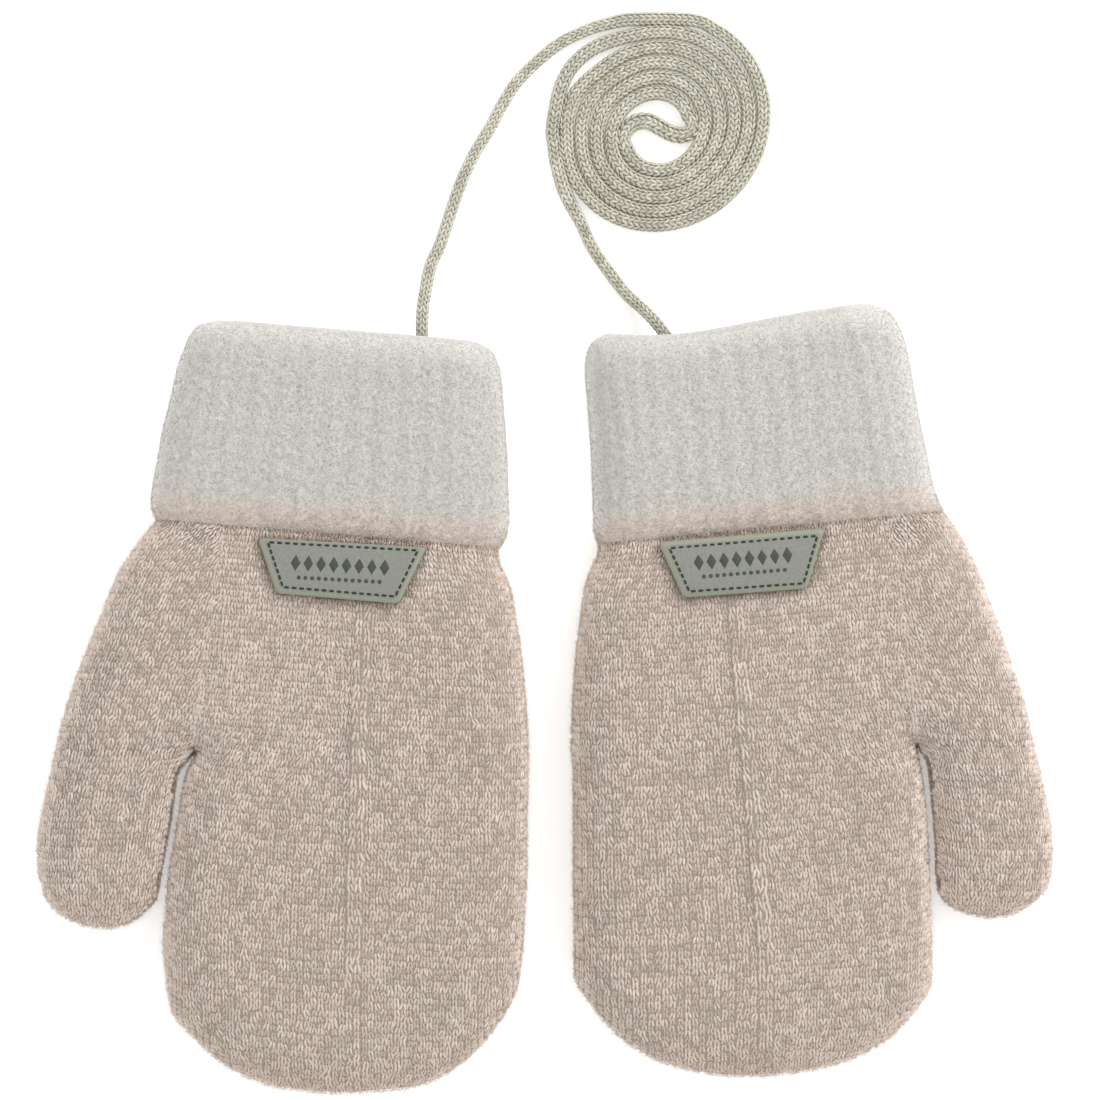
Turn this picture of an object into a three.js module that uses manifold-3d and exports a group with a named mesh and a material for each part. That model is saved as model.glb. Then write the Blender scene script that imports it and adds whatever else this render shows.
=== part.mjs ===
// A pair of knitted baby mittens joined by a neck cord, laid flat on their backs.
// Millimetres. X runs across both mittens, Y from the fingertips to the cuffs, Z up from the surface.
// Each mitten is a hollow hand, a hollow thumb, a turned-up plush cuff and a sewn-on label.
// The cord runs from cuff to cuff through a flat coil that is wound double from its middle.

import * as THREE from 'three';
import { mergeVertices } from 'three/addons/utils/BufferGeometryUtils.js';
import Module from 'manifold-3d';

const wasm = await Module();
wasm.setup();

// Driving sizes
const SEAM_GAP = 0.3;
const KNIT_WALL = 2.6;
const CUFF_WALL = 3.2;
const EDGE_HEIGHT = 5;
const TOP_ROUNDING = 10;
const BACK_ROUNDING = 6.5;
const RIDGE_HEIGHT = 0.7;
const RIDGE_HALF_WIDTH = 2.2;
const RIDGE_FADE_IN = 6;
const RIDGE_FADE_OUT = 20;
const RIB_COUNT = 17;
const RIB_HEIGHT = 0.35;
const LABEL_THICKNESS = 1.5;
const CORD_DIAMETER = 2.5;
const CORD_SIDES = 8;
const TUBE_STEP = 2.5 * CORD_DIAMETER;
const LEAST_TUBE_STEPS = 8;
const COIL_OUTER_RADIUS = 21.7;
const COIL_INNER_RADIUS = 6.3;
const COIL_CENTRE = new THREE.Vector2(22.2, 112.1);

// How finely a ring is divided: the stretch over the thumb, the two beside the ridge, and the back
const OUTER_STEPS = { thumb: 8, beside: 7, ridge: 4, thumbBack: 5, handBack: 8 };
const INNER_STEPS = { thumb: 5, beside: 4, ridge: 1, thumbBack: 3, handBack: 6 };
const CUFF_BACK_STEPS = 12;
const LABEL_STEPS = { across: 10, down: 3 };

// The ridge keeps this share of a row from either edge, also where the rows narrow to the tip
const RIDGE_MARGIN = 0.1;

// How far the cavity runs out past the seam, and how clear its rows stay of its closed ends
const MOUTH_OVERRUN = 2;
const END_CLEARANCE = 1;
const MERGE_DISTANCE = 1e-4;
const NOTHING = 1e-6;
const HALVINGS = 40;

// The outer edge is the thumb's side of a mitten and the inner edge is the side by the other mitten.
// A palm row runs across both hand and thumb, from the cuff's seam to the crotch of the thumb.
const PALM_COLUMNS = ['outerX', 'outerY', 'innerX', 'innerY', 'height'];
const LEVEL_COLUMNS = ['y', 'outerX', 'innerX', 'height'];
const CUFF_COLUMNS = ['outerX', 'outerY', 'innerX', 'innerY', 'height', 'inset'];
const CORNER_COLUMNS = ['outerX', 'outerY', 'innerX', 'innerY'];

const LEFT = {
  name: 'left',
  palm: [
    [-75.7, 34.9, -8.8, 29.4, 10.8],
    [-77.6, 32.6, -9.0, 27.3, 11.2],
    [-80.1, 29.4, -8.0, 25.0, 11.8],
    [-83.3, 24.6, -6.6, 21.6, 12.3],
    [-86.0, 18.1, -5.7, 17.0, 12.5],
    [-88.7, 11.3, -4.7, 10.9, 12.6],
    [-91.8, 3.5, -3.9, 3.5, 12.6],
    [-94.2, -4.3, -3.3, -4.3, 12.6],
    [-95.7, -10.5, -3.1, -10.5, 12.4],
  ],
  hand: [
    [-10.5, -68.2, -3.1, 12.4],
    [-14.0, -69.9, -3.1, 12.4],
    [-17.9, -70.9, -3.1, 12.4],
    [-21.8, -71.5, -3.3, 12.4],
    [-27.7, -72.4, -3.3, 12.4],
    [-33.5, -73.4, -3.3, 12.4],
    [-40.4, -74.1, -3.7, 12.3],
    [-48.2, -74.6, -4.1, 12.2],
    [-56.0, -73.9, -5.1, 12.0],
    [-59.7, -73.2, -6.6, 11.8],
    [-62.8, -72.0, -8.4, 11.6],
    [-66.7, -68.1, -11.3, 11.3],
    [-70.6, -64.0, -15.2, 11.0],
    [-74.1, -58.1, -20.5, 10.6],
    [-76.0, -52.3, -25.7, 10.3],
    [-76.9, -45.4, -34.1, 10.0],
    [-77.2, -39.6, -39.6, 10.0],
  ],
  thumb: [
    [-10.5, -95.7, -68.2, 12.4],
    [-14.0, -96.4, -70.9, 12.3],
    [-17.9, -97.3, -71.9, 12.1],
    [-21.8, -98.2, -72.4, 12.0],
    [-27.7, -99.1, -73.4, 11.7],
    [-33.5, -99.0, -74.5, 11.4],
    [-37.4, -98.1, -75.1, 11.1],
    [-39.6, -97.3, -75.7, 10.9],
    [-41.3, -95.9, -77.2, 10.7],
    [-42.9, -93.8, -79.0, 10.5],
    [-44.1, -91.3, -81.1, 10.3],
    [-44.8, -88.5, -83.3, 10.1],
    [-45.0, -85.6, -85.6, 10.0],
  ],
  cuff: [
    [-75.7, 35.1, -8.8, 29.6, 11.0, 0],
    [-76.6, 37.1, -7.6, 31.4, 12.7, 0],
    [-76.6, 40.6, -7.0, 34.9, 13.4, 0],
    [-75.5, 46.4, -7.2, 41.3, 13.6, 0],
    [-74.5, 52.3, -7.4, 47.4, 13.6, 0],
    [-73.1, 57.7, -7.8, 53.0, 13.6, 0],
    [-71.8, 63.6, -8.2, 58.5, 13.6, 0],
    [-70.2, 68.3, -8.7, 63.4, 13.4, 0],
    [-69.0, 71.0, -9.6, 66.1, 13.2, 0],
    [-67.9, 72.6, -10.4, 67.9, 13.2, 0.5],
    [-65.9, 73.7, -11.5, 69.2, 13.2, 1.6],
    [-67.9, 72.6, -10.4, 67.9, 13.2, 2.7],
    [-69.0, 71.0, -9.6, 66.1, 13.2, 3.2],
    [-71.8, 63.6, -8.2, 58.5, 13.6, 3.2],
    [-73.1, 57.7, -7.8, 53.0, 13.6, 3.2],
    [-75.5, 46.4, -7.2, 41.3, 13.4, 3.2],
    [-76.6, 40.6, -7.0, 34.9, 13.0, 3.2],
    [-75.7, 35.1, -8.8, 29.6, 12.4, 3.2],
  ],
  label: [
    [-55.4, 31.2, -22.8, 29.4],
    [-51.7, 20.5, -28.1, 18.5],
  ],
  ridge: { fromX: -35.1, fromY: 18.1, toX: -37.4, toY: -60 },
};

const RIGHT = {
  name: 'right',
  palm: [
    [77.6, 36.5, 10.3, 30.2, 10.8],
    [79.8, 33.7, 10.1, 28.1, 11.2],
    [81.7, 30.6, 8.8, 25.4, 11.8],
    [83.7, 26.7, 7.6, 22.0, 12.3],
    [85.8, 21.6, 7.0, 17.7, 12.5],
    [88.3, 14.8, 6.2, 11.9, 12.6],
    [90.9, 7.2, 5.5, 4.3, 12.6],
    [93.4, 0.0, 5.1, -2.3, 12.6],
    [95.5, -9.2, 4.9, -9.2, 12.4],
  ],
  hand: [
    [-9.2, 72.5, 4.9, 12.4],
    [-12.1, 73.1, 5.1, 12.4],
    [-15.0, 73.7, 5.3, 12.4],
    [-19.9, 74.2, 5.3, 12.4],
    [-25.7, 74.7, 5.3, 12.4],
    [-31.6, 75.0, 5.3, 12.4],
    [-38.0, 75.2, 5.3, 12.3],
    [-47.2, 75.5, 5.5, 12.2],
    [-54.2, 75.6, 5.5, 12.0],
    [-56.9, 75.1, 6.8, 11.9],
    [-59.5, 73.5, 8.6, 11.7],
    [-62.8, 70.8, 11.1, 11.5],
    [-66.7, 66.9, 15.0, 11.2],
    [-69.4, 62.2, 19.1, 10.9],
    [-71.4, 57.1, 23.4, 10.6],
    [-72.7, 52.1, 28.3, 10.3],
    [-73.6, 44.9, 33.3, 10.1],
    [-73.9, 38.4, 38.4, 10.0],
  ],
  thumb: [
    [-9.2, 95.5, 72.5, 12.4],
    [-12.1, 96.2, 74.1, 12.3],
    [-15.0, 96.9, 74.7, 12.1],
    [-19.9, 97.9, 75.2, 12.0],
    [-25.7, 98.9, 75.7, 11.7],
    [-31.6, 99.1, 76.0, 11.4],
    [-35.5, 98.6, 76.1, 11.1],
    [-38.0, 97.5, 76.6, 10.9],
    [-39.8, 95.5, 77.8, 10.7],
    [-41.1, 93.8, 79.6, 10.5],
    [-42.1, 91.8, 81.9, 10.3],
    [-42.7, 89.7, 84.6, 10.1],
    [-42.9, 86.8, 86.8, 10.0],
  ],
  cuff: [
    [77.6, 36.7, 10.3, 30.4, 11.0, 0],
    [77.0, 38.8, 9.6, 32.6, 12.7, 0],
    [76.2, 42.1, 9.4, 35.7, 13.4, 0],
    [75.1, 48.0, 9.2, 41.5, 13.6, 0],
    [73.9, 53.6, 9.0, 47.4, 13.6, 0],
    [72.9, 59.1, 8.6, 53.0, 13.6, 0],
    [72.0, 64.4, 8.2, 58.7, 13.6, 0],
    [70.8, 70.1, 7.8, 63.6, 13.4, 0],
    [69.8, 73.2, 8.2, 66.9, 13.2, 0],
    [68.4, 75.4, 8.9, 68.6, 13.2, 0.5],
    [66.1, 77.0, 10.2, 69.9, 13.2, 1.6],
    [68.4, 75.4, 8.9, 68.6, 13.2, 2.7],
    [69.8, 73.2, 8.2, 66.9, 13.2, 3.2],
    [72.0, 64.4, 8.2, 58.7, 13.6, 3.2],
    [72.9, 59.1, 8.6, 53.0, 13.6, 3.2],
    [75.1, 48.0, 9.2, 41.5, 13.4, 3.2],
    [76.2, 42.1, 9.4, 35.7, 13.0, 3.2],
    [77.6, 36.7, 10.3, 30.4, 12.4, 3.2],
  ],
  label: [
    [54.0, 33.1, 21.8, 30.4],
    [50.5, 21.4, 26.7, 19.7],
  ],
  ridge: { fromX: 36.7, fromY: 19.1, toX: 43.5, toY: -58 },
};

// The cord's loose ends, from inside each cuff to the coil, and the bend across the coil's eye
const CORD_RADIUS = CORD_DIAMETER / 2;
const LYING = CORD_RADIUS + 0.1;
const IN_CUFF = CUFF_WALL + SEAM_GAP + CORD_RADIUS;
const LEFT_LEAD = [
  [-24.0, 61.5, IN_CUFF],
  [-24.0, 66.0, IN_CUFF],
  [-24.0, 71.0, IN_CUFF + 0.1],
  [-23.9, 75.5, 3.8],
  [-23.3, 80.0, 2.2],
  [-22.3, 84.8, LYING],
  [-20.7, 88.3, LYING],
  [-19.1, 93.0, LYING],
  [-17.6, 97.7, LYING],
  [-15.8, 102.4, LYING],
  [-13.5, 107.1, LYING],
  [-10.7, 111.7, LYING],
  [-8.2, 116.4, LYING],
  [-5.1, 121.1, LYING],
  [-0.2, 125.8, LYING],
  [3.5, 128.1, LYING],
  [6.8, 129.7, LYING],
];
const RIGHT_LEAD = [
  [26.6, 60.5, IN_CUFF],
  [25.9, 65.0, IN_CUFF],
  [24.4, 69.3, IN_CUFF + 0.1],
  [21.9, 73.0, 3.9],
  [19.0, 76.2, 2.2],
  [16.0, 79.0, LYING],
  [12.3, 83.7, LYING],
  [9.2, 88.3, LYING],
  [7.0, 93.0, LYING],
  [4.9, 96.5, LYING],
];
const EYE_BEND = [
  [-4.6, -0.4, LYING],
  [-3.1, 0.9, LYING],
  [0.0, -0.2, LYING],
  [3.1, -1.4, LYING],
  [4.6, -0.1, LYING],
];

const lerp = (from, to, share) => from + (to - from) * share;

const named = (columns, table) => table.map((row) =>
  Object.fromEntries(columns.map((column, i) => [column, row[i]])));

const acrossRows = (table) => named(PALM_COLUMNS, table);

const levelRows = (table) => named(LEVEL_COLUMNS, table).map(({ y, outerX, innerX, height }) =>
  ({ outerX, outerY: y, innerX, innerY: y, height }));

const outerEnd = (row) => new THREE.Vector2(row.outerX, row.outerY);

const innerEnd = (row) => new THREE.Vector2(row.innerX, row.innerY);

// Shares from 0 to 1 that lie close together at the start, as a rounded edge needs
const fromEdge = (steps) => Array.from({ length: steps + 1 }, (_, i) =>
  1 - Math.cos((i / steps) * Math.PI / 2));

const toEdge = (steps) => fromEdge(steps).map((share) => 1 - share).reverse();

const betweenEdges = (steps) => Array.from({ length: steps + 1 }, (_, i) =>
  (1 - Math.cos((i / steps) * Math.PI)) / 2);

// A quarter of an ellipse: 0 at the edge and 1 from the reach inwards
function rounded(distance, reach) {
  const share = THREE.MathUtils.clamp(distance / reach, 0, 1);
  return Math.sqrt(1 - (1 - share) ** 2);
}

// The seen outline of hand and thumb, open at the cuff's seam
function outlineOf(palm, hand, thumb) {
  return [
    ...palm.map(outerEnd),
    ...thumb.slice(1).map(outerEnd),
    ...thumb.map(innerEnd).reverse(),
    ...hand.slice(1).map(outerEnd),
    ...hand.map(innerEnd).reverse(),
    ...palm.map(innerEnd).reverse().slice(1),
  ];
}

function distanceTo(outline, point) {
  let nearest = Infinity;
  for (let i = 1; i < outline.length; i += 1) {
    const from = outline[i - 1];
    const along = outline[i].clone().sub(from);
    const lengthSq = Math.max(along.lengthSq(), NOTHING);
    const share = THREE.MathUtils.clamp(point.clone().sub(from).dot(along) / lengthSq, 0, 1);
    nearest = Math.min(nearest, point.distanceTo(from.clone().addScaledVector(along, share)));
  }
  return nearest;
}

// The knitted cloth of one mitten: its outline, and the height of its faces at any point
class Cloth {
  constructor(mitten) {
    this.palm = acrossRows(mitten.palm);
    this.hand = levelRows(mitten.hand);
    this.thumb = levelRows(mitten.thumb);
    this.outline = outlineOf(this.palm, this.hand, this.thumb);
    this.ridge = mitten.ridge;
    const crotch = this.hand[0];
    const widest = this.palm.at(-1);
    this.crotch = outerEnd(crotch);
    this.crotchShare = (crotch.outerX - widest.outerX) / (widest.innerX - widest.outerX);
  }

  ridgeX(y) {
    const { fromX, fromY, toX, toY } = this.ridge;
    return lerp(fromX, toX, (y - fromY) / (toY - fromY));
  }

  // The knitted-in ridge starts under the label and fades out before the tip
  ridgeRise(x, y) {
    const { fromY, toY } = this.ridge;
    const { smoothstep } = THREE.MathUtils;
    const fade = smoothstep(fromY - y, 0, RIDGE_FADE_IN) * smoothstep(y - toY, 0, RIDGE_FADE_OUT);
    const share = 1 - Math.abs(x - this.ridgeX(y)) / RIDGE_HALF_WIDTH;
    return RIDGE_HEIGHT * fade * Math.sqrt(Math.max(share, 0));
  }

  top(x, y, height, inset) {
    const inside = distanceTo(this.outline, new THREE.Vector2(x, y)) - inset;
    const rise = (height - inset - EDGE_HEIGHT) * rounded(inside, TOP_ROUNDING - inset);
    return EDGE_HEIGHT + rise + (inset ? 0 : this.ridgeRise(x, y));
  }

  back(x, y, inset) {
    const inside = distanceTo(this.outline, new THREE.Vector2(x, y)) - inset;
    return EDGE_HEIGHT - (EDGE_HEIGHT - inset) * rounded(inside, BACK_ROUNDING - inset);
  }

  // Height of the cloth at a point of the palm, between the table's rows
  palmHeight(x, y) {
    const levels = this.palm.map((row) => ({
      y: lerp(row.outerY, row.innerY, (x - row.outerX) / (row.innerX - row.outerX)),
      height: row.height,
    }));
    const below = Math.max(levels.findIndex((level) => level.y < y), 1);
    const [upper, lower] = [levels[below - 1], levels[below]];
    return lerp(upper.height, lower.height, (y - upper.y) / (lower.y - upper.y));
  }
}

// The points over the top and along the back of one lobe of a ring, from its outer to its inner edge
function lobe(cloth, row, shares, backShares, inset) {
  const at = (share) => [
    lerp(row.outerX, row.innerX, share),
    lerp(row.outerY, row.innerY, share),
  ];
  return {
    top: shares.map(at).map(([x, y]) => new THREE.Vector3(x, y, cloth.top(x, y, row.height, inset))),
    back: backShares.map(at).map(([x, y]) => new THREE.Vector3(x, y, cloth.back(x, y, inset))),
  };
}

function thumbLobe(cloth, row, steps, inset) {
  return lobe(cloth, row, betweenEdges(steps.thumb), betweenEdges(steps.thumbBack), inset);
}

// The hand's lobe has extra points over the ridge
function handLobe(cloth, row, steps, inset) {
  const width = row.innerX - row.outerX;
  const middleY = (row.outerY + row.innerY) / 2;
  const centre = Math.abs(width) < NOTHING ? 0.5 : (cloth.ridgeX(middleY) - row.outerX) / width;
  const half = Math.min(RIDGE_HALF_WIDTH / Math.max(Math.abs(width), NOTHING), 2 * RIDGE_MARGIN);
  const middle = THREE.MathUtils.clamp(centre, half + RIDGE_MARGIN, 1 - RIDGE_MARGIN - half);
  const shares = [
    ...fromEdge(steps.beside).map((share) => share * (middle - half)),
    ...Array.from({ length: steps.ridge }, (_, i) => middle - half + (2 * half * (i + 1)) / steps.ridge),
    ...toEdge(steps.beside).slice(1).map((share) => lerp(middle + half, 1, share)),
  ];
  return lobe(cloth, row, shares, betweenEdges(steps.handBack), inset);
}

const closedRing = ({ top, back }) => [...top, ...back.slice(1, -1).reverse()];

// A palm row is the thumb's lobe and the hand's lobe side by side
function palmRing(cloth, row, steps, inset, share = cloth.crotchShare) {
  const splitX = lerp(row.outerX, row.innerX, share);
  const splitY = lerp(row.outerY, row.innerY, share);
  const thumb = thumbLobe(cloth, { ...row, innerX: splitX, innerY: splitY }, steps, inset);
  const hand = handLobe(cloth, { ...row, outerX: splitX, outerY: splitY }, steps, inset);
  return closedRing({
    top: [...thumb.top, ...hand.top.slice(1)],
    back: [...thumb.back, ...hand.back.slice(1)],
  });
}

// Triangles between neighbouring rings of equal length
function strips(rings) {
  const triangles = [];
  for (let i = 1; i < rings.length; i += 1) {
    const [near, far] = [rings[i - 1], rings[i]];
    near.forEach((point, k) => {
      const next = (k + 1) % near.length;
      triangles.push([point, far[k], far[next]], [point, far[next], near[next]]);
    });
  }
  return triangles;
}

function cap(ring, facesBack) {
  const centre = ring.reduce((sum, point) => sum.add(point), new THREE.Vector3())
    .divideScalar(ring.length);
  return ring.map((point, k) => {
    const next = ring[(k + 1) % ring.length];
    return facesBack ? [centre, next, point] : [centre, point, next];
  });
}

// One closed mesh from loose triangles: shared points merged, collapsed triangles left out
function closedMesh(triangles) {
  const loose = new THREE.BufferGeometry().setFromPoints(triangles.flat());
  const merged = mergeVertices(loose, MERGE_DISTANCE);
  const index = merged.getIndex().array;
  const kept = [];
  for (let i = 0; i < index.length; i += 3) {
    const [a, b, c] = index.slice(i, i + 3);
    if (a !== b && b !== c && c !== a) kept.push(a, b, c);
  }
  merged.setIndex(kept);
  return faceOut(merged);
}

function faceOut(geometry) {
  const position = geometry.getAttribute('position');
  const index = Array.from(geometry.getIndex().array);
  const corner = (i) => new THREE.Vector3().fromBufferAttribute(position, index[i]);
  let volume = 0;
  for (let i = 0; i < index.length; i += 3) {
    volume += corner(i).dot(corner(i + 1).cross(corner(i + 2)));
  }
  if (volume < 0) index.reverse();
  geometry.setIndex(index);
  return geometry;
}

function solidOf(geometry) {
  return new wasm.Manifold(new wasm.Mesh({
    numProp: 3,
    vertProperties: new Float32Array(geometry.getAttribute('position').array),
    triVerts: new Uint32Array(geometry.getIndex().array),
  }));
}

function geometryOf(solid) {
  const { vertProperties, triVerts } = solid.getMesh();
  const geometry = new THREE.BufferGeometry();
  geometry.setAttribute('position', new THREE.BufferAttribute(vertProperties, 3));
  geometry.setIndex(new THREE.BufferAttribute(triVerts, 1));
  return geometry;
}

// The share of a row, from one share to another, where the cloth's cavity begins
function cavityShare(cloth, row, inset, edge, middle) {
  let [outside, inside] = [edge, middle];
  for (let i = 0; i < HALVINGS; i += 1) {
    const share = (outside + inside) / 2;
    const point = outerEnd(row).lerp(innerEnd(row), share);
    if (distanceTo(cloth.outline, point) < inset) outside = share;
    else inside = share;
  }
  return inside;
}

// A row pulled in by the wall at both ends, from a middle that lies inside the cavity
function cavityRow(cloth, row, inset, middle = 0.5) {
  const from = cavityShare(cloth, row, inset, 0, middle);
  const to = cavityShare(cloth, row, inset, 1, middle);
  return {
    ...row,
    outerX: lerp(row.outerX, row.innerX, from),
    outerY: lerp(row.outerY, row.innerY, from),
    innerX: lerp(row.outerX, row.innerX, to),
    innerY: lerp(row.outerY, row.innerY, to),
  };
}

// The cavity of a tube of level rows, from the crotch of the cavity down to its rounded end
function cavityRows(cloth, rows, start, end, inset) {
  const middle = (row) => outerEnd(row).lerp(innerEnd(row), 0.5);
  const roomy = rows.filter((row, i) => i % 2 === 1
    && row.outerY > end.y + END_CLEARANCE
    && distanceTo(cloth.outline, middle(row)) > inset + END_CLEARANCE);
  const last = { outerX: end.x, innerX: end.x, outerY: end.y, innerY: end.y, height: end.height };
  return [start, ...roomy.map((row) => cavityRow(cloth, row, inset)), last];
}

function tubeEnd(rows, inset) {
  const tip = rows.at(-1);
  return { x: tip.outerX, y: tip.outerY + inset, height: tip.height };
}

// The cavity's own crotch lies one wall nearer the cuff than the crotch that shows
function cavityCrotch(cloth, inset) {
  const row = { ...cloth.palm.at(-1) };
  row.outerY += inset;
  row.innerY += inset;
  const inner = cavityRow(cloth, row, inset, (1 + cloth.crotchShare) / 2);
  const outer = cavityRow(cloth, row, inset, cloth.crotchShare / 2);
  const split = { x: cloth.crotch.x, y: row.outerY };
  return {
    palm: { ...row, outerX: outer.outerX, innerX: inner.innerX },
    hand: { ...row, outerX: split.x, innerX: inner.innerX },
    thumb: { ...row, outerX: outer.outerX, innerX: split.x },
    share: (split.x - outer.outerX) / (inner.innerX - outer.outerX),
  };
}

const moved = (row, distance) =>
  ({ ...row, outerY: row.outerY + distance, innerY: row.innerY + distance });

function thumbCavity(cloth) {
  const crotch = cavityCrotch(cloth, KNIT_WALL);
  const end = tubeEnd(cloth.thumb, KNIT_WALL);
  const rows = cavityRows(cloth, cloth.thumb, crotch.thumb, end, KNIT_WALL);
  return rows.map((row) => closedRing(thumbLobe(cloth, row, INNER_STEPS, KNIT_WALL)));
}

function handCavity(cloth) {
  const crotch = cavityCrotch(cloth, KNIT_WALL);
  const inPalm = cloth.palm.filter((row, i) =>
    i % 2 === 0 && row.outerY > crotch.palm.outerY + END_CLEARANCE);
  const palmRows = inPalm.map((row) => cavityRow(cloth, row, KNIT_WALL));
  const mouth = moved(palmRows[0], MOUTH_OVERRUN);
  const palmRings = [mouth, ...palmRows, crotch.palm].map((row) =>
    palmRing(cloth, row, INNER_STEPS, KNIT_WALL, crotch.share));
  const end = tubeEnd(cloth.hand, KNIT_WALL);
  const handRings = cavityRows(cloth, cloth.hand, crotch.hand, end, KNIT_WALL)
    .map((row) => closedRing(handLobe(cloth, row, INNER_STEPS, KNIT_WALL)));
  return closedMesh([
    ...strips(palmRings),
    ...strips(handRings),
    ...strips(thumbCavity(cloth)),
    ...cap(palmRings[0], false),
  ]);
}

function handGeometry(cloth) {
  const palmRings = cloth.palm.map((row) => palmRing(cloth, row, OUTER_STEPS, 0));
  const handRings = cloth.hand.map((row) => closedRing(handLobe(cloth, row, OUTER_STEPS, 0)));
  const thumbRoot = closedRing(thumbLobe(cloth, cloth.thumb[0], OUTER_STEPS, 0));
  const outside = closedMesh([
    ...strips(palmRings),
    ...strips(handRings),
    ...cap(palmRings[0], false),
    ...cap(thumbRoot, true),
  ]);
  return geometryOf(solidOf(outside).subtract(solidOf(handCavity(cloth))));
}

function thumbGeometry(cloth) {
  const [root, ...rest] = cloth.thumb;
  const rows = [moved(root, -SEAM_GAP), ...rest];
  const rings = rows.map((row) => closedRing(thumbLobe(cloth, row, OUTER_STEPS, 0)));
  const outside = closedMesh([...strips(rings), ...cap(rings[0], false)]);
  const cavity = thumbCavity(cloth);
  const inside = closedMesh([...strips(cavity), ...cap(cavity[0], false)]);
  return geometryOf(solidOf(outside).subtract(solidOf(inside)));
}

// The cuff's ring: plain inside, ribbed over the top of its outside
function cuffRing(row) {
  const from = outerEnd(row);
  const to = innerEnd(row);
  const length = from.distanceTo(to);
  const ends = row.inset / length;
  const ribbed = row.inset === 0;
  const at = (share, heightAt) => {
    const inside = Math.min(share, 1 - share) * length;
    const place = from.clone().lerp(to, lerp(ends, 1 - ends, share));
    return new THREE.Vector3(place.x, place.y, heightAt(inside));
  };
  const topSteps = 2 * RIB_COUNT;
  const top = Array.from({ length: topSteps + 1 }, (_, i) => {
    const even = i / topSteps;
    const share = lerp(even, betweenEdges(topSteps)[i], 0.5);
    const rise = row.height - row.inset - EDGE_HEIGHT;
    return at(share, (inside) => EDGE_HEIGHT + rise * rounded(inside, TOP_ROUNDING - row.inset)
      + (ribbed && i % 2 ? RIB_HEIGHT * rounded(inside, TOP_ROUNDING) : 0));
  });
  const back = betweenEdges(CUFF_BACK_STEPS).map((share) => at(share, (inside) =>
    EDGE_HEIGHT - (EDGE_HEIGHT - row.inset) * rounded(inside, BACK_ROUNDING - row.inset)));
  return closedRing({ top, back });
}

function cuffGeometry(mitten) {
  const rings = named(CUFF_COLUMNS, mitten.cuff).map(cuffRing);
  return closedMesh(strips([...rings, rings[0]]));
}

// The label follows the cloth that it is sewn to
function labelGeometry(mitten, cloth) {
  const [upper, lower] = named(CORNER_COLUMNS, mitten.label);
  const { across, down } = LABEL_STEPS;
  const face = (lift) => Array.from({ length: down + 1 }, (_, i) =>
    Array.from({ length: across + 1 }, (__, k) => {
      const start = outerEnd(upper).lerp(outerEnd(lower), i / down);
      const place = start.lerp(innerEnd(upper).lerp(innerEnd(lower), i / down), k / across);
      const height = cloth.palmHeight(place.x, place.y);
      const z = cloth.top(place.x, place.y, height, 0) + lift;
      return new THREE.Vector3(place.x, place.y, z);
    }));
  const under = face(SEAM_GAP);
  const over = face(SEAM_GAP + LABEL_THICKNESS);
  const rings = under.map((row, i) => [...over[i], ...row.reverse()]);
  return closedMesh([...strips(rings), ...cappedEnds(rings)]);
}

// The ends of a flat strip, as two triangles between each pair of upper and lower points
function cappedEnds(rings) {
  return [rings[0], rings.at(-1)].flatMap((ring, end) => {
    const last = ring.length - 1;
    const pairs = Array.from({ length: ring.length / 2 - 1 }, (_, k) => k);
    return pairs.flatMap((k) => {
      const corners = [ring[k], ring[k + 1], ring[last - k - 1], ring[last - k]];
      const [a, b, c, d] = end ? corners.reverse() : corners;
      return [[a, b, c], [a, c, d]];
    });
  });
}

// A plain tube of the cord's size through hand-placed points
function cordTube(points) {
  const route = new THREE.CatmullRomCurve3(points.map((point) => new THREE.Vector3(...point)));
  const section = new THREE.Shape(Array.from({ length: CORD_SIDES }, (_, i) => {
    const angle = (2 * Math.PI * (i + 0.5)) / CORD_SIDES;
    return new THREE.Vector2(CORD_RADIUS * Math.cos(angle), CORD_RADIUS * Math.sin(angle));
  }));
  const steps = Math.max(Math.ceil(route.getLength() / TUBE_STEP), LEAST_TUBE_STEPS);
  return new THREE.ExtrudeGeometry(section, { steps, extrudePath: route });
}

function coilGeometry() {
  const bevel = 0.6;
  const profile = [
    [COIL_INNER_RADIUS, bevel],
    [COIL_INNER_RADIUS + bevel, 0],
    [COIL_OUTER_RADIUS - bevel, 0],
    [COIL_OUTER_RADIUS, bevel],
    [COIL_OUTER_RADIUS, CORD_DIAMETER - bevel],
    [COIL_OUTER_RADIUS - bevel, CORD_DIAMETER],
    [COIL_INNER_RADIUS + bevel, CORD_DIAMETER],
    [COIL_INNER_RADIUS, CORD_DIAMETER - bevel],
    [COIL_INNER_RADIUS, bevel],
  ];
  const ring = new THREE.LatheGeometry(profile.map(([r, z]) => new THREE.Vector2(r, z)), 40);
  return ring.rotateX(Math.PI / 2);
}

const MATERIALS = {
  knit: new THREE.MeshStandardMaterial({ color: 0xbcaea3, roughness: 0.95, metalness: 0 }),
  plush: new THREE.MeshStandardMaterial({ color: 0xc8c5bd, roughness: 1, metalness: 0 }),
  leatherette: new THREE.MeshStandardMaterial({ color: 0x969b91, roughness: 0.6, metalness: 0 }),
  cord: new THREE.MeshStandardMaterial({ color: 0xb9b7a8, roughness: 0.9, metalness: 0 }),
};

function piece(name, geometry, material) {
  const mesh = new THREE.Mesh(geometry, MATERIALS[material]);
  mesh.name = name;
  return mesh;
}

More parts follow.
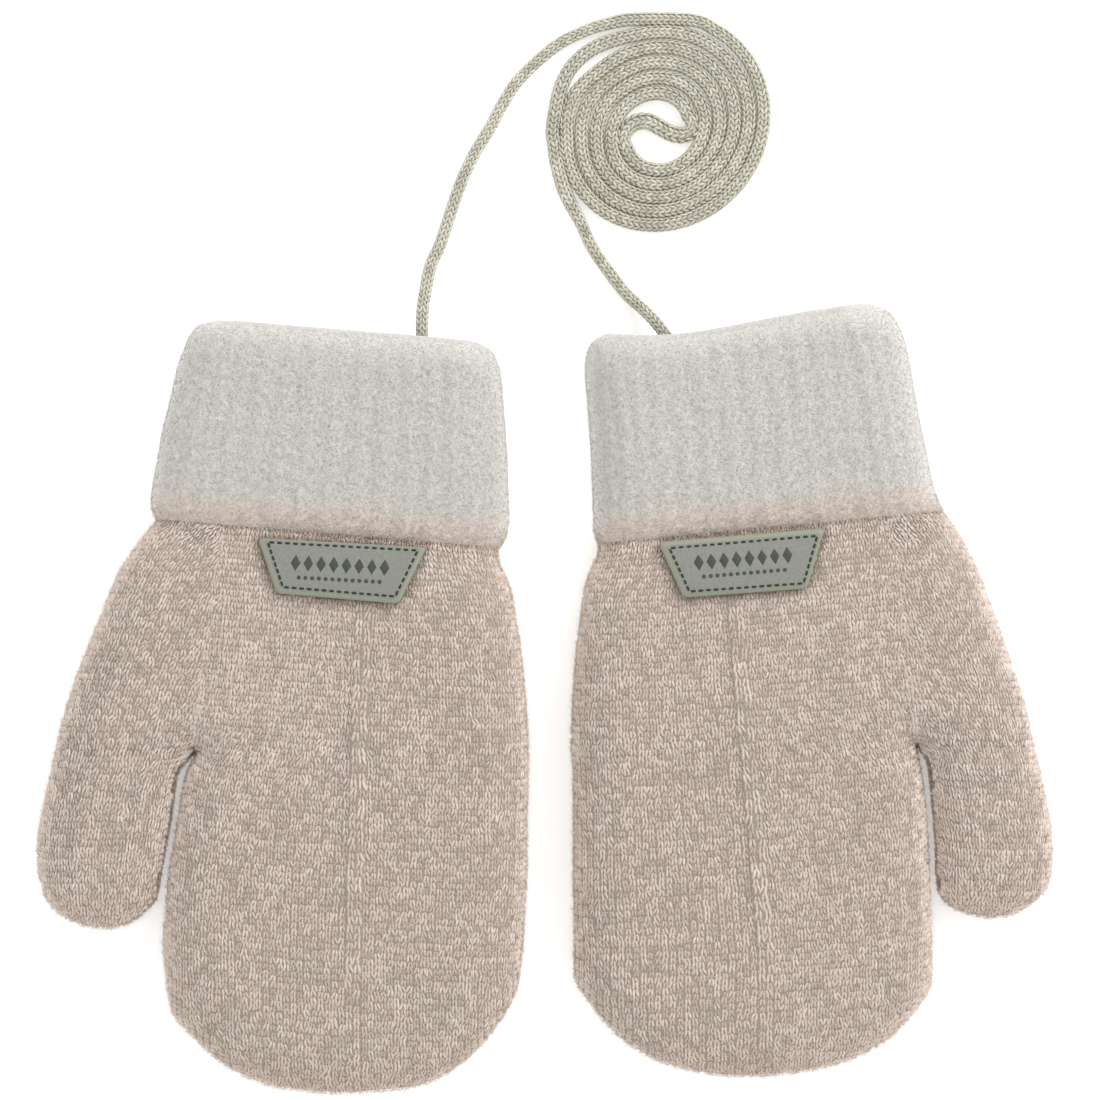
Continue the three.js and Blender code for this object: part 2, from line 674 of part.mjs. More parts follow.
function mittenGroup(mitten) {
  const cloth = new Cloth(mitten);
  const group = new THREE.Group();
  group.add(
    piece(`${mitten.name}_hand`, handGeometry(cloth), 'knit'),
    piece(`${mitten.name}_thumb`, thumbGeometry(cloth), 'knit'),
    piece(`${mitten.name}_cuff`, cuffGeometry(mitten), 'plush'),
    piece(`${mitten.name}_label`, labelGeometry(mitten, cloth), 'leatherette'),
  );
  return group;
}

function cordGroup() {
  const group = new THREE.Group();
  const coil = new THREE.Group();
  coil.position.set(COIL_CENTRE.x, COIL_CENTRE.y, 0);
  coil.add(
    piece('cord_coil', coilGeometry(), 'cord'),
    piece('cord_eye_bend', cordTube(EYE_BEND), 'cord'),
  );
  group.add(
    coil,
    piece('cord_lead_left', cordTube(LEFT_LEAD), 'cord'),
    piece('cord_lead_right', cordTube(RIGHT_LEAD), 'cord'),
  );
  return group;
}

const mittens = new THREE.Group();
mittens.add(mittenGroup(LEFT), mittenGroup(RIGHT), cordGroup());

export default mittens;
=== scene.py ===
"""A pair of knitted baby mittens with turned-up plush cuffs, joined by a coiled neck cord.

They lie on their backs on a pale surface and are seen from straight above.
X runs across both mittens, Y from the fingertips to the cuffs, and Z up from the surface.
Sizes are in millimetres here, and MM turns them to metres.
"""

import math

import bpy
import numpy as np
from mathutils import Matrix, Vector, noise


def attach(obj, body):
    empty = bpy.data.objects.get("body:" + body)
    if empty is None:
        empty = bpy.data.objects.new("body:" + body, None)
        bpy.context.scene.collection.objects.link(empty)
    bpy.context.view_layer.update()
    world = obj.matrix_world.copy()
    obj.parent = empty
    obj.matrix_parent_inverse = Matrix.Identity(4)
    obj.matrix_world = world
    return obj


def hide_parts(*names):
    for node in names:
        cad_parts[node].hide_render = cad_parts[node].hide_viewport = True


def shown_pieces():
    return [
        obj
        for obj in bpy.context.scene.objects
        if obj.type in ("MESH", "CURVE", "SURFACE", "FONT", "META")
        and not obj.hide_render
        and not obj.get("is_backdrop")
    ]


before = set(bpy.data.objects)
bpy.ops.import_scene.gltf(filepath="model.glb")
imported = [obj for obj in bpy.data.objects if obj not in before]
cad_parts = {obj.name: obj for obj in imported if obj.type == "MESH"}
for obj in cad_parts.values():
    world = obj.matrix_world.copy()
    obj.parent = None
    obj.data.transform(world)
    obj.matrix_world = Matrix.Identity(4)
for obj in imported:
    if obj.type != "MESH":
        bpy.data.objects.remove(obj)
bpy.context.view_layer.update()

MM = 0.001

# Form of the cloth
EDGE_HEIGHT = 5.0
TOP_ROUNDING = 10.0
BACK_ROUNDING = 6.5
RIDGE_HEIGHT = 0.7
RIDGE_HALF_WIDTH = 2.2
RIDGE_FADE_IN = 6.0
RIDGE_FADE_OUT = 20.0
SEAM_GAP = 0.3
THUMB_GAP = 0.05
KNIT_WALL = 2.0
STITCH_DEPTH = 0.4
STITCH_WOBBLE = 0.09
STITCH_UNEVENNESS = 0.15
DOWN_DENSITY = 2.6
FOLD_DOWN = 1.5
EDGE_DOWN_DENSITY = 1.8
RIB_COUNT = 17
RIB_HEIGHT = 0.3
NAP_DEPTH = 0.25
LABEL_THICKNESS = 1.5
LABEL_PROBE = 0.5

# Gauge of the knit
WALE = 1.28
COURSE = 1.19
THUMB_WALES = 24
OUTER_WALES = 29
INNER_WALES = 27
RIDGE_WALE = 1.5
RIDGE_GROOVE = 0.1
GUSSET_LEAN = 0.12
GUSSET_LAP = 0.4
SEAM_DIP = 0.1
SEAM_DIP_REACH = 5.0
CUFF_DIP = 0.5
CUFF_DIP_REACH = 2.2
FOLD_FROM = 0.6
FOLD_TO = 2.4
# How pale the knit and down by the cuff's seam are painted: painted light that lifts the seam's shade
SEAM_PALENESS = 1.0
SEAM_DOWN = 0.6
CUFF_LAP = 0.2
# Painted shadow round the label: how dark it is, and how far it reaches
LABEL_SHADE = 0.9
LABEL_SHADE_REACH = 1.1
RIM_DEPTH = 2.6
# Heights of the cuff's painted highlight at its rim, and how pale its top is painted
CUFF_RIM = (7.0, 11.5)
CROWN_PALENESS = 0.65
BOW_RISE = (45.0, 73.0)
RIDGE_COURSE = 1.55
RIM_WALES = 3

# Cord
CORD_WALES = 5
CORD_WALE = 1.2
CORD_COURSE = 1.18
CORD_CORE = 1.75
COIL_SWELL = 0.22
# How dark the painted shade between the coil's turns is
TURN_SHADE = 0.15
EYE_SWELL = 0.25

# The outer edge is the thumb's side of a mitten and the inner edge is the side by the other mitten.
# Palm: outer x and y, inner x and y, height.  Hand and thumb: y, outer x, inner x, height.
# Cuff: outer x and y, inner x and y, height, inset.  Label: outer x and y, inner x and y.
LEFT = {
    "name": "left",
    "side": 1,
    "tip": -52.0,
    "thumb_tip": -34.0,
    "palm": [
        (-75.7, 34.9, -8.8, 29.4, 10.8),
        (-77.6, 32.6, -9.0, 27.3, 11.2),
        (-80.1, 29.4, -8.0, 25.0, 11.8),
        (-83.3, 24.6, -6.6, 21.6, 12.3),
        (-86.0, 18.1, -5.7, 17.0, 12.5),
        (-88.7, 11.3, -4.7, 10.9, 12.6),
        (-91.8, 3.5, -3.9, 3.5, 12.6),
        (-94.2, -4.3, -3.3, -4.3, 12.6),
        (-95.7, -10.5, -3.1, -10.5, 12.4),
    ],
    "hand": [
        (-10.5, -68.2, -3.1, 12.4),
        (-14.0, -69.9, -3.1, 12.4),
        (-17.9, -70.9, -3.1, 12.4),
        (-21.8, -71.5, -3.3, 12.4),
        (-27.7, -72.4, -3.3, 12.4),
        (-33.5, -73.4, -3.3, 12.4),
        (-40.4, -74.1, -3.7, 12.3),
        (-48.2, -74.6, -4.1, 12.2),
        (-56.0, -73.9, -5.1, 12.0),
        (-59.7, -73.2, -6.6, 11.8),
        (-62.8, -72.0, -8.4, 11.6),
        (-66.7, -68.1, -11.3, 11.3),
        (-70.6, -64.0, -15.2, 11.0),
        (-74.1, -58.1, -20.5, 10.6),
        (-76.0, -52.3, -25.7, 10.3),
        (-76.9, -45.4, -34.1, 10.0),
        (-77.2, -39.6, -39.6, 10.0),
    ],
    "thumb": [
        (-10.5, -95.7, -68.2, 12.4),
        (-14.0, -96.4, -70.9, 12.3),
        (-17.9, -97.3, -71.9, 12.1),
        (-21.8, -98.2, -72.4, 12.0),
        (-27.7, -99.1, -73.4, 11.7),
        (-33.5, -99.0, -74.5, 11.4),
        (-37.4, -98.1, -75.1, 11.1),
        (-39.6, -97.3, -75.7, 10.9),
        (-41.3, -95.9, -77.2, 10.7),
        (-42.9, -93.8, -79.0, 10.5),
        (-44.1, -91.3, -81.1, 10.3),
        (-44.8, -88.5, -83.3, 10.1),
        (-45.0, -85.6, -85.6, 10.0),
    ],
    "cuff": [
        (-75.7, 35.1, -8.8, 29.6, 11.1, 0),
        (-76.6, 37.1, -7.6, 31.4, 11.8, 0),
        (-76.6, 40.6, -7.0, 34.9, 12.9, 0),
        (-75.5, 46.4, -7.2, 41.3, 13.4, 0),
        (-74.5, 52.3, -7.4, 47.4, 13.6, 0),
        (-73.1, 57.7, -7.8, 53.0, 13.6, 0),
        (-71.8, 63.6, -8.2, 58.5, 13.6, 0),
        (-70.2, 68.3, -8.7, 63.4, 13.4, 0),
        (-69.0, 71.0, -9.6, 66.1, 13.2, 0),
        (-67.9, 72.6, -10.4, 67.9, 13.2, 0.5),
        (-65.9, 73.7, -11.5, 69.2, 13.2, 1.6),
        (-67.9, 72.6, -10.4, 67.9, 13.2, 2.7),
        (-69.0, 71.0, -9.6, 66.1, 13.2, 3.2),
        (-71.8, 63.6, -8.2, 58.5, 13.6, 3.2),
        (-73.1, 57.7, -7.8, 53.0, 13.6, 3.2),
        (-75.5, 46.4, -7.2, 41.3, 13.4, 3.2),
        (-76.6, 40.6, -7.0, 34.9, 13.0, 3.2),
        (-75.7, 35.1, -8.8, 29.6, 12.4, 3.2),
    ],
    "label": [(-55.4, 31.2, -22.8, 29.4), (-51.7, 20.5, -28.1, 18.5)],
    "ridge": (-35.1, 18.1, -37.4, -60.0),
    "cuff_bow": 0.0,
}
RIGHT = {
    "name": "right",
    "side": -1,
    "tip": -52.0,
    "thumb_tip": -33.0,
    "palm": [
        (77.6, 36.5, 10.3, 30.2, 10.8),
        (79.8, 33.7, 10.1, 28.1, 11.2),
        (81.7, 30.6, 8.8, 25.4, 11.8),
        (83.7, 26.7, 7.6, 22.0, 12.3),
        (85.8, 21.6, 7.0, 17.7, 12.5),
        (88.3, 14.8, 6.2, 11.9, 12.6),
        (90.9, 7.2, 5.5, 4.3, 12.6),
        (93.4, 0.0, 5.1, -2.3, 12.6),
        (95.5, -9.2, 4.9, -9.2, 12.4),
    ],
    "hand": [
        (-9.2, 72.5, 4.9, 12.4),
        (-12.1, 73.1, 5.1, 12.4),
        (-15.0, 73.7, 5.3, 12.4),
        (-19.9, 74.2, 5.3, 12.4),
        (-25.7, 74.7, 5.3, 12.4),
        (-31.6, 75.0, 5.3, 12.4),
        (-38.0, 75.2, 5.3, 12.3),
        (-47.2, 75.5, 5.5, 12.2),
        (-54.2, 75.6, 5.5, 12.0),
        (-56.9, 75.1, 6.8, 11.9),
        (-59.5, 73.5, 8.6, 11.7),
        (-62.8, 70.8, 11.1, 11.5),
        (-66.7, 66.9, 15.0, 11.2),
        (-69.4, 62.2, 19.1, 10.9),
        (-71.4, 57.1, 23.4, 10.6),
        (-72.7, 52.1, 28.3, 10.3),
        (-73.6, 44.9, 33.3, 10.1),
        (-73.9, 38.4, 38.4, 10.0),
    ],
    "thumb": [
        (-9.2, 95.5, 72.5, 12.4),
        (-12.1, 96.2, 74.1, 12.3),
        (-15.0, 96.9, 74.7, 12.1),
        (-19.9, 97.9, 75.2, 12.0),
        (-25.7, 98.9, 75.7, 11.7),
        (-31.6, 99.1, 76.0, 11.4),
        (-35.5, 98.6, 76.1, 11.1),
        (-38.0, 97.5, 76.6, 10.9),
        (-39.8, 95.5, 77.8, 10.7),
        (-41.1, 93.8, 79.6, 10.5),
        (-42.1, 91.8, 81.9, 10.3),
        (-42.7, 89.7, 84.6, 10.1),
        (-42.9, 86.8, 86.8, 10.0),
    ],
    "cuff": [
        (77.6, 36.7, 10.3, 30.4, 11.1, 0),
        (76.5, 38.8, 9.6, 32.6, 11.8, 0),
        (75.5, 42.1, 9.4, 35.7, 12.9, 0),
        (74.3, 48.0, 9.2, 41.5, 13.4, 0),
        (73.1, 53.6, 9.0, 47.4, 13.6, 0),
        (72.1, 59.1, 8.6, 53.0, 13.6, 0),
        (71.2, 64.4, 8.2, 58.7, 13.6, 0),
        (69.9, 70.1, 7.8, 63.6, 13.4, 0),
        (68.5, 73.2, 8.2, 67.4, 13.2, 0),
        (67.2, 75.4, 8.9, 69.4, 13.2, 0.5),
        (65.0, 77.0, 10.0, 70.8, 13.2, 1.6),
        (67.2, 75.4, 8.9, 69.4, 13.2, 2.7),
        (68.5, 73.2, 8.2, 67.4, 13.2, 3.2),
        (71.2, 64.4, 8.2, 58.7, 13.6, 3.2),
        (72.1, 59.1, 8.6, 53.0, 13.6, 3.2),
        (74.3, 48.0, 9.2, 41.5, 13.4, 3.2),
        (75.5, 42.1, 9.4, 35.7, 13.0, 3.2),
        (77.6, 36.7, 10.3, 30.4, 12.4, 3.2),
    ],
    "label": [(54.0, 33.1, 21.8, 30.4), (50.5, 21.4, 26.7, 19.7)],
    "ridge": (36.7, 19.1, 43.5, -58.0),
    "cuff_bow": 1.9,
}

# The cord's loose ends from inside each cuff to the coil, and the bend across the coil's eye
LYING = 1.35
IN_CUFF = 4.75
LEFT_LEAD = [
    (-24.0, 61.5, IN_CUFF),
    (-24.0, 66.0, IN_CUFF),
    (-24.0, 71.0, IN_CUFF + 0.1),
    (-23.9, 75.5, 3.8),
    (-23.3, 80.0, 2.2),
    (-22.3, 84.8, LYING),
    (-20.7, 88.3, LYING),
    (-19.1, 93.0, LYING),
    (-17.6, 97.7, LYING),
    (-15.8, 102.4, LYING),
    (-13.5, 107.1, LYING),
    (-10.7, 111.7, LYING),
    (-8.2, 116.4, LYING),
    (-5.1, 121.1, LYING),
    (-0.2, 125.8, LYING),
    (3.4, 128.5, LYING),
    (8.5, 130.9, LYING),
    (13.0, 132.2, LYING),
    (17.6, 132.9, LYING),
]
RIGHT_LEAD = [
    (26.6, 60.5, IN_CUFF),
    (25.9, 65.0, IN_CUFF),
    (24.4, 69.3, IN_CUFF + 0.1),
    (21.9, 73.0, 3.9),
    (19.0, 76.2, 2.2),
    (16.0, 79.0, LYING),
    (12.3, 83.7, LYING),
    (9.2, 88.3, LYING),
    (7.0, 93.0, LYING),
    (3.9, 99.1, LYING),
    (2.3, 104.9, LYING),
    (1.8, 108.8, LYING),
]
EYE_BEND = [
    (15.3, 109.2, LYING),
    (16.0, 111.3, LYING),
    (17.8, 112.7, LYING),
    (20.3, 112.9, LYING),
    (22.6, 111.7, LYING),
    (24.9, 110.5, LYING),
    (27.1, 110.2, LYING),
    (28.8, 111.0, LYING),
    (29.2, 112.6, LYING),
]
COIL_CENTRE = np.array((22.15, 111.7))
COIL_DRIFT = np.array((0.0, -0.9))
COIL_RADIUS = 22.0
COIL_PITCH = 5.75
COIL_END = 5.5 * math.pi - 0.5
COIL_FORM = np.array(((1.005, 0.045), (0.045, 0.99)))
# Where each strand lies loose, in degrees round the coil from its start, and by how much
LOOSE_FIRST = [(262, 318, 0.9), (622, 678, 0.3)]
LOOSE_SECOND = [(92, 168, 1.7), (442, 498, 0.6)]


# Colour and nodes


def colour(code, alpha=1.0):
    """A linear colour from an sRGB hex code."""
    parts = [int(code[i:i + 2], 16) / 255 for i in (0, 2, 4)]
    linear = [c / 12.92 if c <= 0.04045 else ((c + 0.055) / 1.055) ** 2.4 for c in parts]
    return (*linear, alpha)


def add_node(tree, kind, settings=None, inputs=None, links=None):
    """Adds one node with its settings, its input values and the sockets that feed it."""
    node = tree.nodes.new(kind)
    for name, value in (settings or {}).items():
        setattr(node, name, value)
    for name, value in (inputs or {}).items():
        node.inputs[name].default_value = value
    for name, socket in (links or {}).items():
        tree.links.new(socket, node.inputs[name])
    return node


def new_material(name):
    """A material with a plain surface shader, and its tree and shader."""
    material = bpy.data.materials.new(name)
    material.use_nodes = True
    tree = material.node_tree
    return material, tree, tree.nodes["Principled BSDF"]


def ramp(tree, factor, stops):
    """Colours from hex codes at places from 0 to 1."""
    node = add_node(tree, "ShaderNodeValToRGB", links={"Fac": factor})
    elements = node.color_ramp.elements
    while len(elements) < len(stops):
        elements.new(0.5)
    for element, (place, code) in zip(elements, stops):
        element.position = place
        element.color = colour(code)
    return node.outputs["Color"]


def grain(tree, scale, detail=3.0, stretch=None):
    """Soft noise on the object's own coordinates, with so many grains to a metre."""
    place = add_node(tree, "ShaderNodeTexCoord").outputs["Object"]
    if stretch:
        place = add_node(
            tree, "ShaderNodeMapping", inputs={"Scale": stretch}, links={"Vector": place}
        ).outputs["Vector"]
    return add_node(
        tree,
        "ShaderNodeTexNoise",
        inputs={"Scale": scale, "Detail": detail},
        links={"Vector": place},
    ).outputs["Fac"]


def own(tree, name):
    """A number that the mesh carries under that name."""
    return add_node(tree, "ShaderNodeAttribute", {"attribute_name": name}).outputs["Fac"]


def mathed(tree, operation, first, second):
    """The result of one sum on two values or sockets."""
    node = add_node(tree, "ShaderNodeMath", {"operation": operation})
    for socket, value in zip(node.inputs, (first, second)):
        if isinstance(value, (int, float)):
            socket.default_value = value
        else:
            tree.links.new(value, socket)
    return node.outputs["Value"]


def raised(tree, shader, height, distance, strength=1.0):
    """Bump of that depth in metres on the shader."""
    bump = add_node(
        tree,
        "ShaderNodeBump",
        inputs={"Distance": distance, "Strength": strength},
        links={"Height": height},
    )
    tree.links.new(bump.outputs["Normal"], shader.inputs["Normal"])


def mixed(tree, factor, first, second, blend="MIX"):
    """Two colours mixed by a factor, each given as a hex code or a socket."""
    node = add_node(tree, "ShaderNodeMix", {"data_type": "RGBA", "blend_type": blend})
    sockets = [s for s in node.inputs if s.type == "RGBA"]
    for socket, value in zip(sockets, (first, second)):
        if isinstance(value, str):
            socket.default_value = colour(value)
        else:
            tree.links.new(value, socket)
    factor_socket = next(s for s in node.inputs if s.type == "VALUE")
    if isinstance(factor, (int, float)):
        factor_socket.default_value = factor
    else:
        tree.links.new(factor, factor_socket)
    return next(s for s in node.outputs if s.type == "RGBA")


# Painted shade and painted highlight: how strongly, and in what tint, a mesh's own shade value darkens the
# colour round the labels and between the cord's turns, and how far its rim value paints it paler.
PAINTED_SHADE_STRENGTH = 0.6
RIM_PALENESS = 0.5
PAINTED_SHADE_TINT = "a58f80"


def fibre_finish(shader, roughness, sheen, sheen_tint):
    """The matt, slightly downy shading that spun fibre has."""
    shader.inputs["Roughness"].default_value = roughness
    shader.inputs["Specular IOR Level"].default_value = 0.2
    shader.inputs["Sheen Weight"].default_value = sheen
    shader.inputs["Sheen Roughness"].default_value = 0.6
    shader.inputs["Sheen Tint"].default_value = colour(sheen_tint)


def brushed_yarn(name, dark, middle, light):
    """Brushed acrylic yarn: heathered, matt, with a painted highlight at the rim where a faint down catches
    light at the edges.
    """
    material, tree, shader = new_material(name)
    tone = mathed(tree, "MULTIPLY", own(tree, "tone"), 0.45)
    for scale, share in ((2600, 0.9), (900, 0.5), (170, 0.4)):
        cloudy = mathed(tree, "MULTIPLY", mathed(tree, "SUBTRACT", grain(tree, scale), 0.5), share)
        tone = mathed(tree, "ADD", tone, cloudy)
    tone = mathed(tree, "ADD", tone, 0.275)
    shade = ramp(tree, tone, [(0.0, dark), (0.5, middle), (1.0, light)])
    # Painted shade round the labels and between the cord's turns.
    painted_darker = mixed(tree, PAINTED_SHADE_STRENGTH, shade, PAINTED_SHADE_TINT, "MULTIPLY")
    shade = mixed(tree, own(tree, "fold"), shade, painted_darker)
    # Painted highlight: paler where the mesh's rim value is high, at the thin rim and by the cuff's seam.
    painted_highlight = mathed(tree, "MULTIPLY", own(tree, "rim"), RIM_PALENESS)
    tree.links.new(mixed(tree, painted_highlight, shade, "f6e6da"), shader.inputs["Base Color"])
    fibre_finish(shader, 0.95, 0.3, "fff4ea")
    raised(tree, shader, grain(tree, 6000, 2.0), 0.05 * MM, 0.5)
    return material


def knit_loops(tree):
    """Height of plain knit over the cloth's own coordinates: two slanting legs to a wale."""
    place = add_node(tree, "ShaderNodeTexCoord").outputs["Object"]
    axes = add_node(tree, "ShaderNodeSeparateXYZ", links={"Vector": place}).outputs
    across = mathed(tree, "FRACT", mathed(tree, "DIVIDE", axes["X"], WALE * MM), 0.0)
    slant = mathed(tree, "ABSOLUTE", mathed(tree, "SUBTRACT", across, 0.5), 0.0)
    upward = mathed(tree, "ADD", mathed(tree, "DIVIDE", axes["Y"], COURSE * MM), slant)
    over_leg = mathed(tree, "SINE", mathed(tree, "MULTIPLY", across, 2 * math.pi), 0.0)
    along_leg = mathed(tree, "MULTIPLY", mathed(tree, "FRACT", upward, 0.0), math.pi)
    breadth = mathed(tree, "ABSOLUTE", over_leg, 0.0)
    return mathed(tree, "MULTIPLY", breadth, mathed(tree, "SINE", along_leg, 0.0))


def knit_ground():
    """Painted shade behind the stitches: a dark colour for the loops behind the front of a plain knit, and
    on the flat underside the knit itself, painted darker between its loops.
    """
    material, tree, shader = new_material("knit_ground")
    under = own(tree, "under")
    loops = knit_loops(tree)
    heather = mathed(tree, "MULTIPLY", grain(tree, 900, 4.0), 0.7)
    # Underside: painted shade, darker where the loops' height is low, with the heather's grain
    face = ramp(
        tree, mathed(tree, "MULTIPLY", mathed(tree, "ADD", loops, heather), 0.6),
        [(0.15, "a1948a"), (0.5, "cdbfb4"), (0.9, "e6d9cf")],
    )
    # Painted shade: a darker yarn colour, seen in the gaps between the stitches
    shade = mixed(tree, grain(tree, 1400, 3.0), "9a8c81", "b3a599")
    # Painted shade round the labels.
    painted_darker = mixed(tree, PAINTED_SHADE_STRENGTH, shade, PAINTED_SHADE_TINT, "MULTIPLY")
    shade = mixed(tree, own(tree, "fold"), shade, painted_darker)
    tree.links.new(mixed(tree, under, shade, face), shader.inputs["Base Color"])
    fibre_finish(shader, 1.0, 0.1, "fff4ea")
    relief = mathed(tree, "MULTIPLY", loops, under)
    raised(tree, shader, mathed(tree, "ADD", relief, grain(tree, 2500, 2.0)), 0.3 * MM)
    return material


def fleece_lining():
    """Short knitted fleece inside the mitten, paler than the outside."""
    material, tree, shader = new_material("fleece_lining")
    tree.links.new(
        mixed(tree, grain(tree, 900, 4.0), "c9bfb3", "ddd5ca"), shader.inputs["Base Color"]
    )
    fibre_finish(shader, 1.0, 0.3, "ffffff")
    raised(tree, shader, grain(tree, 1800, 3.0), 0.5 * MM)
    return material


def plush(name, dark, light):
    """Brushed plush knit: a felted nap in mottled pale grey that turns beige by the hand."""
    material, tree, shader = new_material(name)
    mottle = mathed(tree, "MULTIPLY", grain(tree, 1300, 5.0, (1.0, 0.6, 1.0)), 0.8)
    tone = mathed(tree, "ADD", mottle, mathed(tree, "MULTIPLY", own(tree, "tone"), 0.4))
    grey = ramp(tree, tone, [(0.3, dark), (0.75, light)])
    beige = ramp(tree, tone, [(0.3, "d0c0b3"), (0.75, "f4e6db")])
    shade = mixed(tree, own(tree, "beige"), grey, beige)
    # Painted shade, where the mesh carries a value for it.
    painted_darker = mixed(tree, PAINTED_SHADE_STRENGTH, shade, PAINTED_SHADE_TINT, "MULTIPLY")
    shade = mixed(tree, own(tree, "fold"), shade, painted_darker)
    # Painted highlight: paler where the mesh's rim value is high, at the thin rim, over the cuff's top and
    # by its seam.
    painted_highlight = mathed(tree, "MULTIPLY", own(tree, "rim"), RIM_PALENESS)
    tree.links.new(mixed(tree, painted_highlight, shade, "f6f3ec"), shader.inputs["Base Color"])
    fibre_finish(shader, 1.0, 0.6, "ffffff")
    raised(tree, shader, grain(tree, 2200, 4.0), 0.35 * MM)
    return material


def leatherette():
    """Pressed polyurethane leatherette: fine pebble, matt, paler where the edge is worn."""
    material, tree, shader = new_material("pressed_leatherette")
    face = mixed(tree, grain(tree, 2200, 4.0), "74776f", "95968d")
    tree.links.new(mixed(tree, own(tree, "edge"), face, "969a88"), shader.inputs["Base Color"])
    shader.inputs["Roughness"].default_value = 0.62
    shader.inputs["Specular IOR Level"].default_value = 0.35
    pebble = add_node(
        tree,
        "ShaderNodeTexVoronoi",
        inputs={"Scale": 1900},
        links={"Vector": add_node(tree, "ShaderNodeTexCoord").outputs["Object"]},
    ).outputs["Distance"]
    raised(tree, shader, pebble, 0.06 * MM, 0.7)
    return material


def plain_finish(name, dark, light, roughness):
    """A matt finish in two close tones, as on dyed thread or pressed ink."""
    material, tree, shader = new_material(name)
    tree.links.new(
        mixed(tree, grain(tree, 2500, 3.0), dark, light), shader.inputs["Base Color"]
    )
    shader.inputs["Roughness"].default_value = roughness
    shader.inputs["Specular IOR Level"].default_value = 0.3
    return material


def light_table():
    """A white opal sheet lit faintly from below, so that the surface stays white in soft shadow."""
    material, _, shader = new_material("opal_sheet")
    shader.inputs["Base Color"].default_value = colour("f6f6f5")
    shader.inputs["Roughness"].default_value = 0.9
    shader.inputs["Emission Color"].default_value = (1, 1, 1, 1)
    shader.inputs["Emission Strength"].default_value = 0.36
    return material


YARN = brushed_yarn("brushed_acrylic_yarn", "b3a59a", "ded1c7", "f9eee6")
CORD_YARN = brushed_yarn("knitted_cotton_cord", "b0aea0", "cfcdbd", "e8e6d8")
GROUND = knit_ground()
LINING = fleece_lining()
PLUSH = plush("brushed_plush", "c1beb7", "dfdcd5")
LEATHERETTE = leatherette()
THREAD = plain_finish("polyester_thread", "262b26", "3c423b", 0.7)
PRESSED_INK = plain_finish("pressed_ink", "3a403b", "4c524b", 0.6)


# Meshes and geometry nodes


def mesh_piece(name, points, faces, materials, attributes=None):
    """A smooth mesh object at the origin from points in millimetres."""
    mesh = bpy.data.meshes.new(name)
    mesh.from_pydata((np.asarray(points, float) * MM).tolist(), [], faces)
    for material in materials:
        mesh.materials.append(material)
    mesh.polygons.foreach_set("use_smooth", [True] * len(mesh.polygons))
    for title, values in (attributes or {}).items():
        vector = np.ndim(values) == 2
        layer = mesh.attributes.new(title, "FLOAT_VECTOR" if vector else "FLOAT", "POINT")
        layer.data.foreach_set("vector" if vector else "value", np.ravel(values).astype(np.float32))
    mesh.update()
    piece = bpy.data.objects.new(name, mesh)
    bpy.context.scene.collection.objects.link(piece)
    return piece


def applied(piece):
    """The piece with its modifiers turned into plain mesh."""
    graph = bpy.context.evaluated_depsgraph_get()
    mesh = bpy.data.meshes.new_from_object(piece.evaluated_get(graph), depsgraph=graph)
    piece.modifiers.clear()
    piece.data = mesh
    mesh.name = piece.name
    return piece


def new_tree(name, inputs):
    """A geometry tree with named inputs beside its geometry, each with a kind and a first value."""
    tree = bpy.data.node_groups.new(name, "GeometryNodeTree")
    tree.interface.new_socket("Geometry", in_out="INPUT", socket_type="NodeSocketGeometry")
    for title, (kind, value) in inputs.items():
        socket = tree.interface.new_socket(title, in_out="INPUT", socket_type=kind)
        if value is not None:
            socket.default_value = value
    tree.interface.new_socket("Geometry", in_out="OUTPUT", socket_type="NodeSocketGeometry")
    return tree


def run_tree(piece, tree, values):
    """Puts the tree on the piece with its inputs set by their identifiers, and applies it."""
    modifier = piece.modifiers.new(tree.name, "NODES")
    modifier.node_group = tree
    names = {s.name: s.identifier for s in tree.interface.items_tree if s.in_out == "INPUT"}
    for title, value in values.items():
        modifier[names[title]] = value
    return applied(piece)


def finish_instances(tree, instances, spread, seed, material):
    """Gives each instance a random tone, and ends the tree in realized geometry and a material."""
    tone = add_node(
        tree,
        "FunctionNodeRandomValue",
        {"data_type": "FLOAT"},
        links={"Seed": seed},
    )
    stored = add_node(
        tree,
        "GeometryNodeStoreNamedAttribute",
        {"data_type": "FLOAT", "domain": "INSTANCE"},
        {"Name": "tone"},
        {"Geometry": instances, "Value": tone.outputs[1]},
    )
    real = add_node(tree, "GeometryNodeRealizeInstances", links={"Geometry": stored.outputs[0]})
    finished = add_node(
        tree, "GeometryNodeSetMaterial", links={"Geometry": real.outputs[0], "Material": material}
    )
    output = add_node(tree, "NodeGroupOutput")
    tree.links.new(finished.outputs[0], output.inputs["Geometry"])


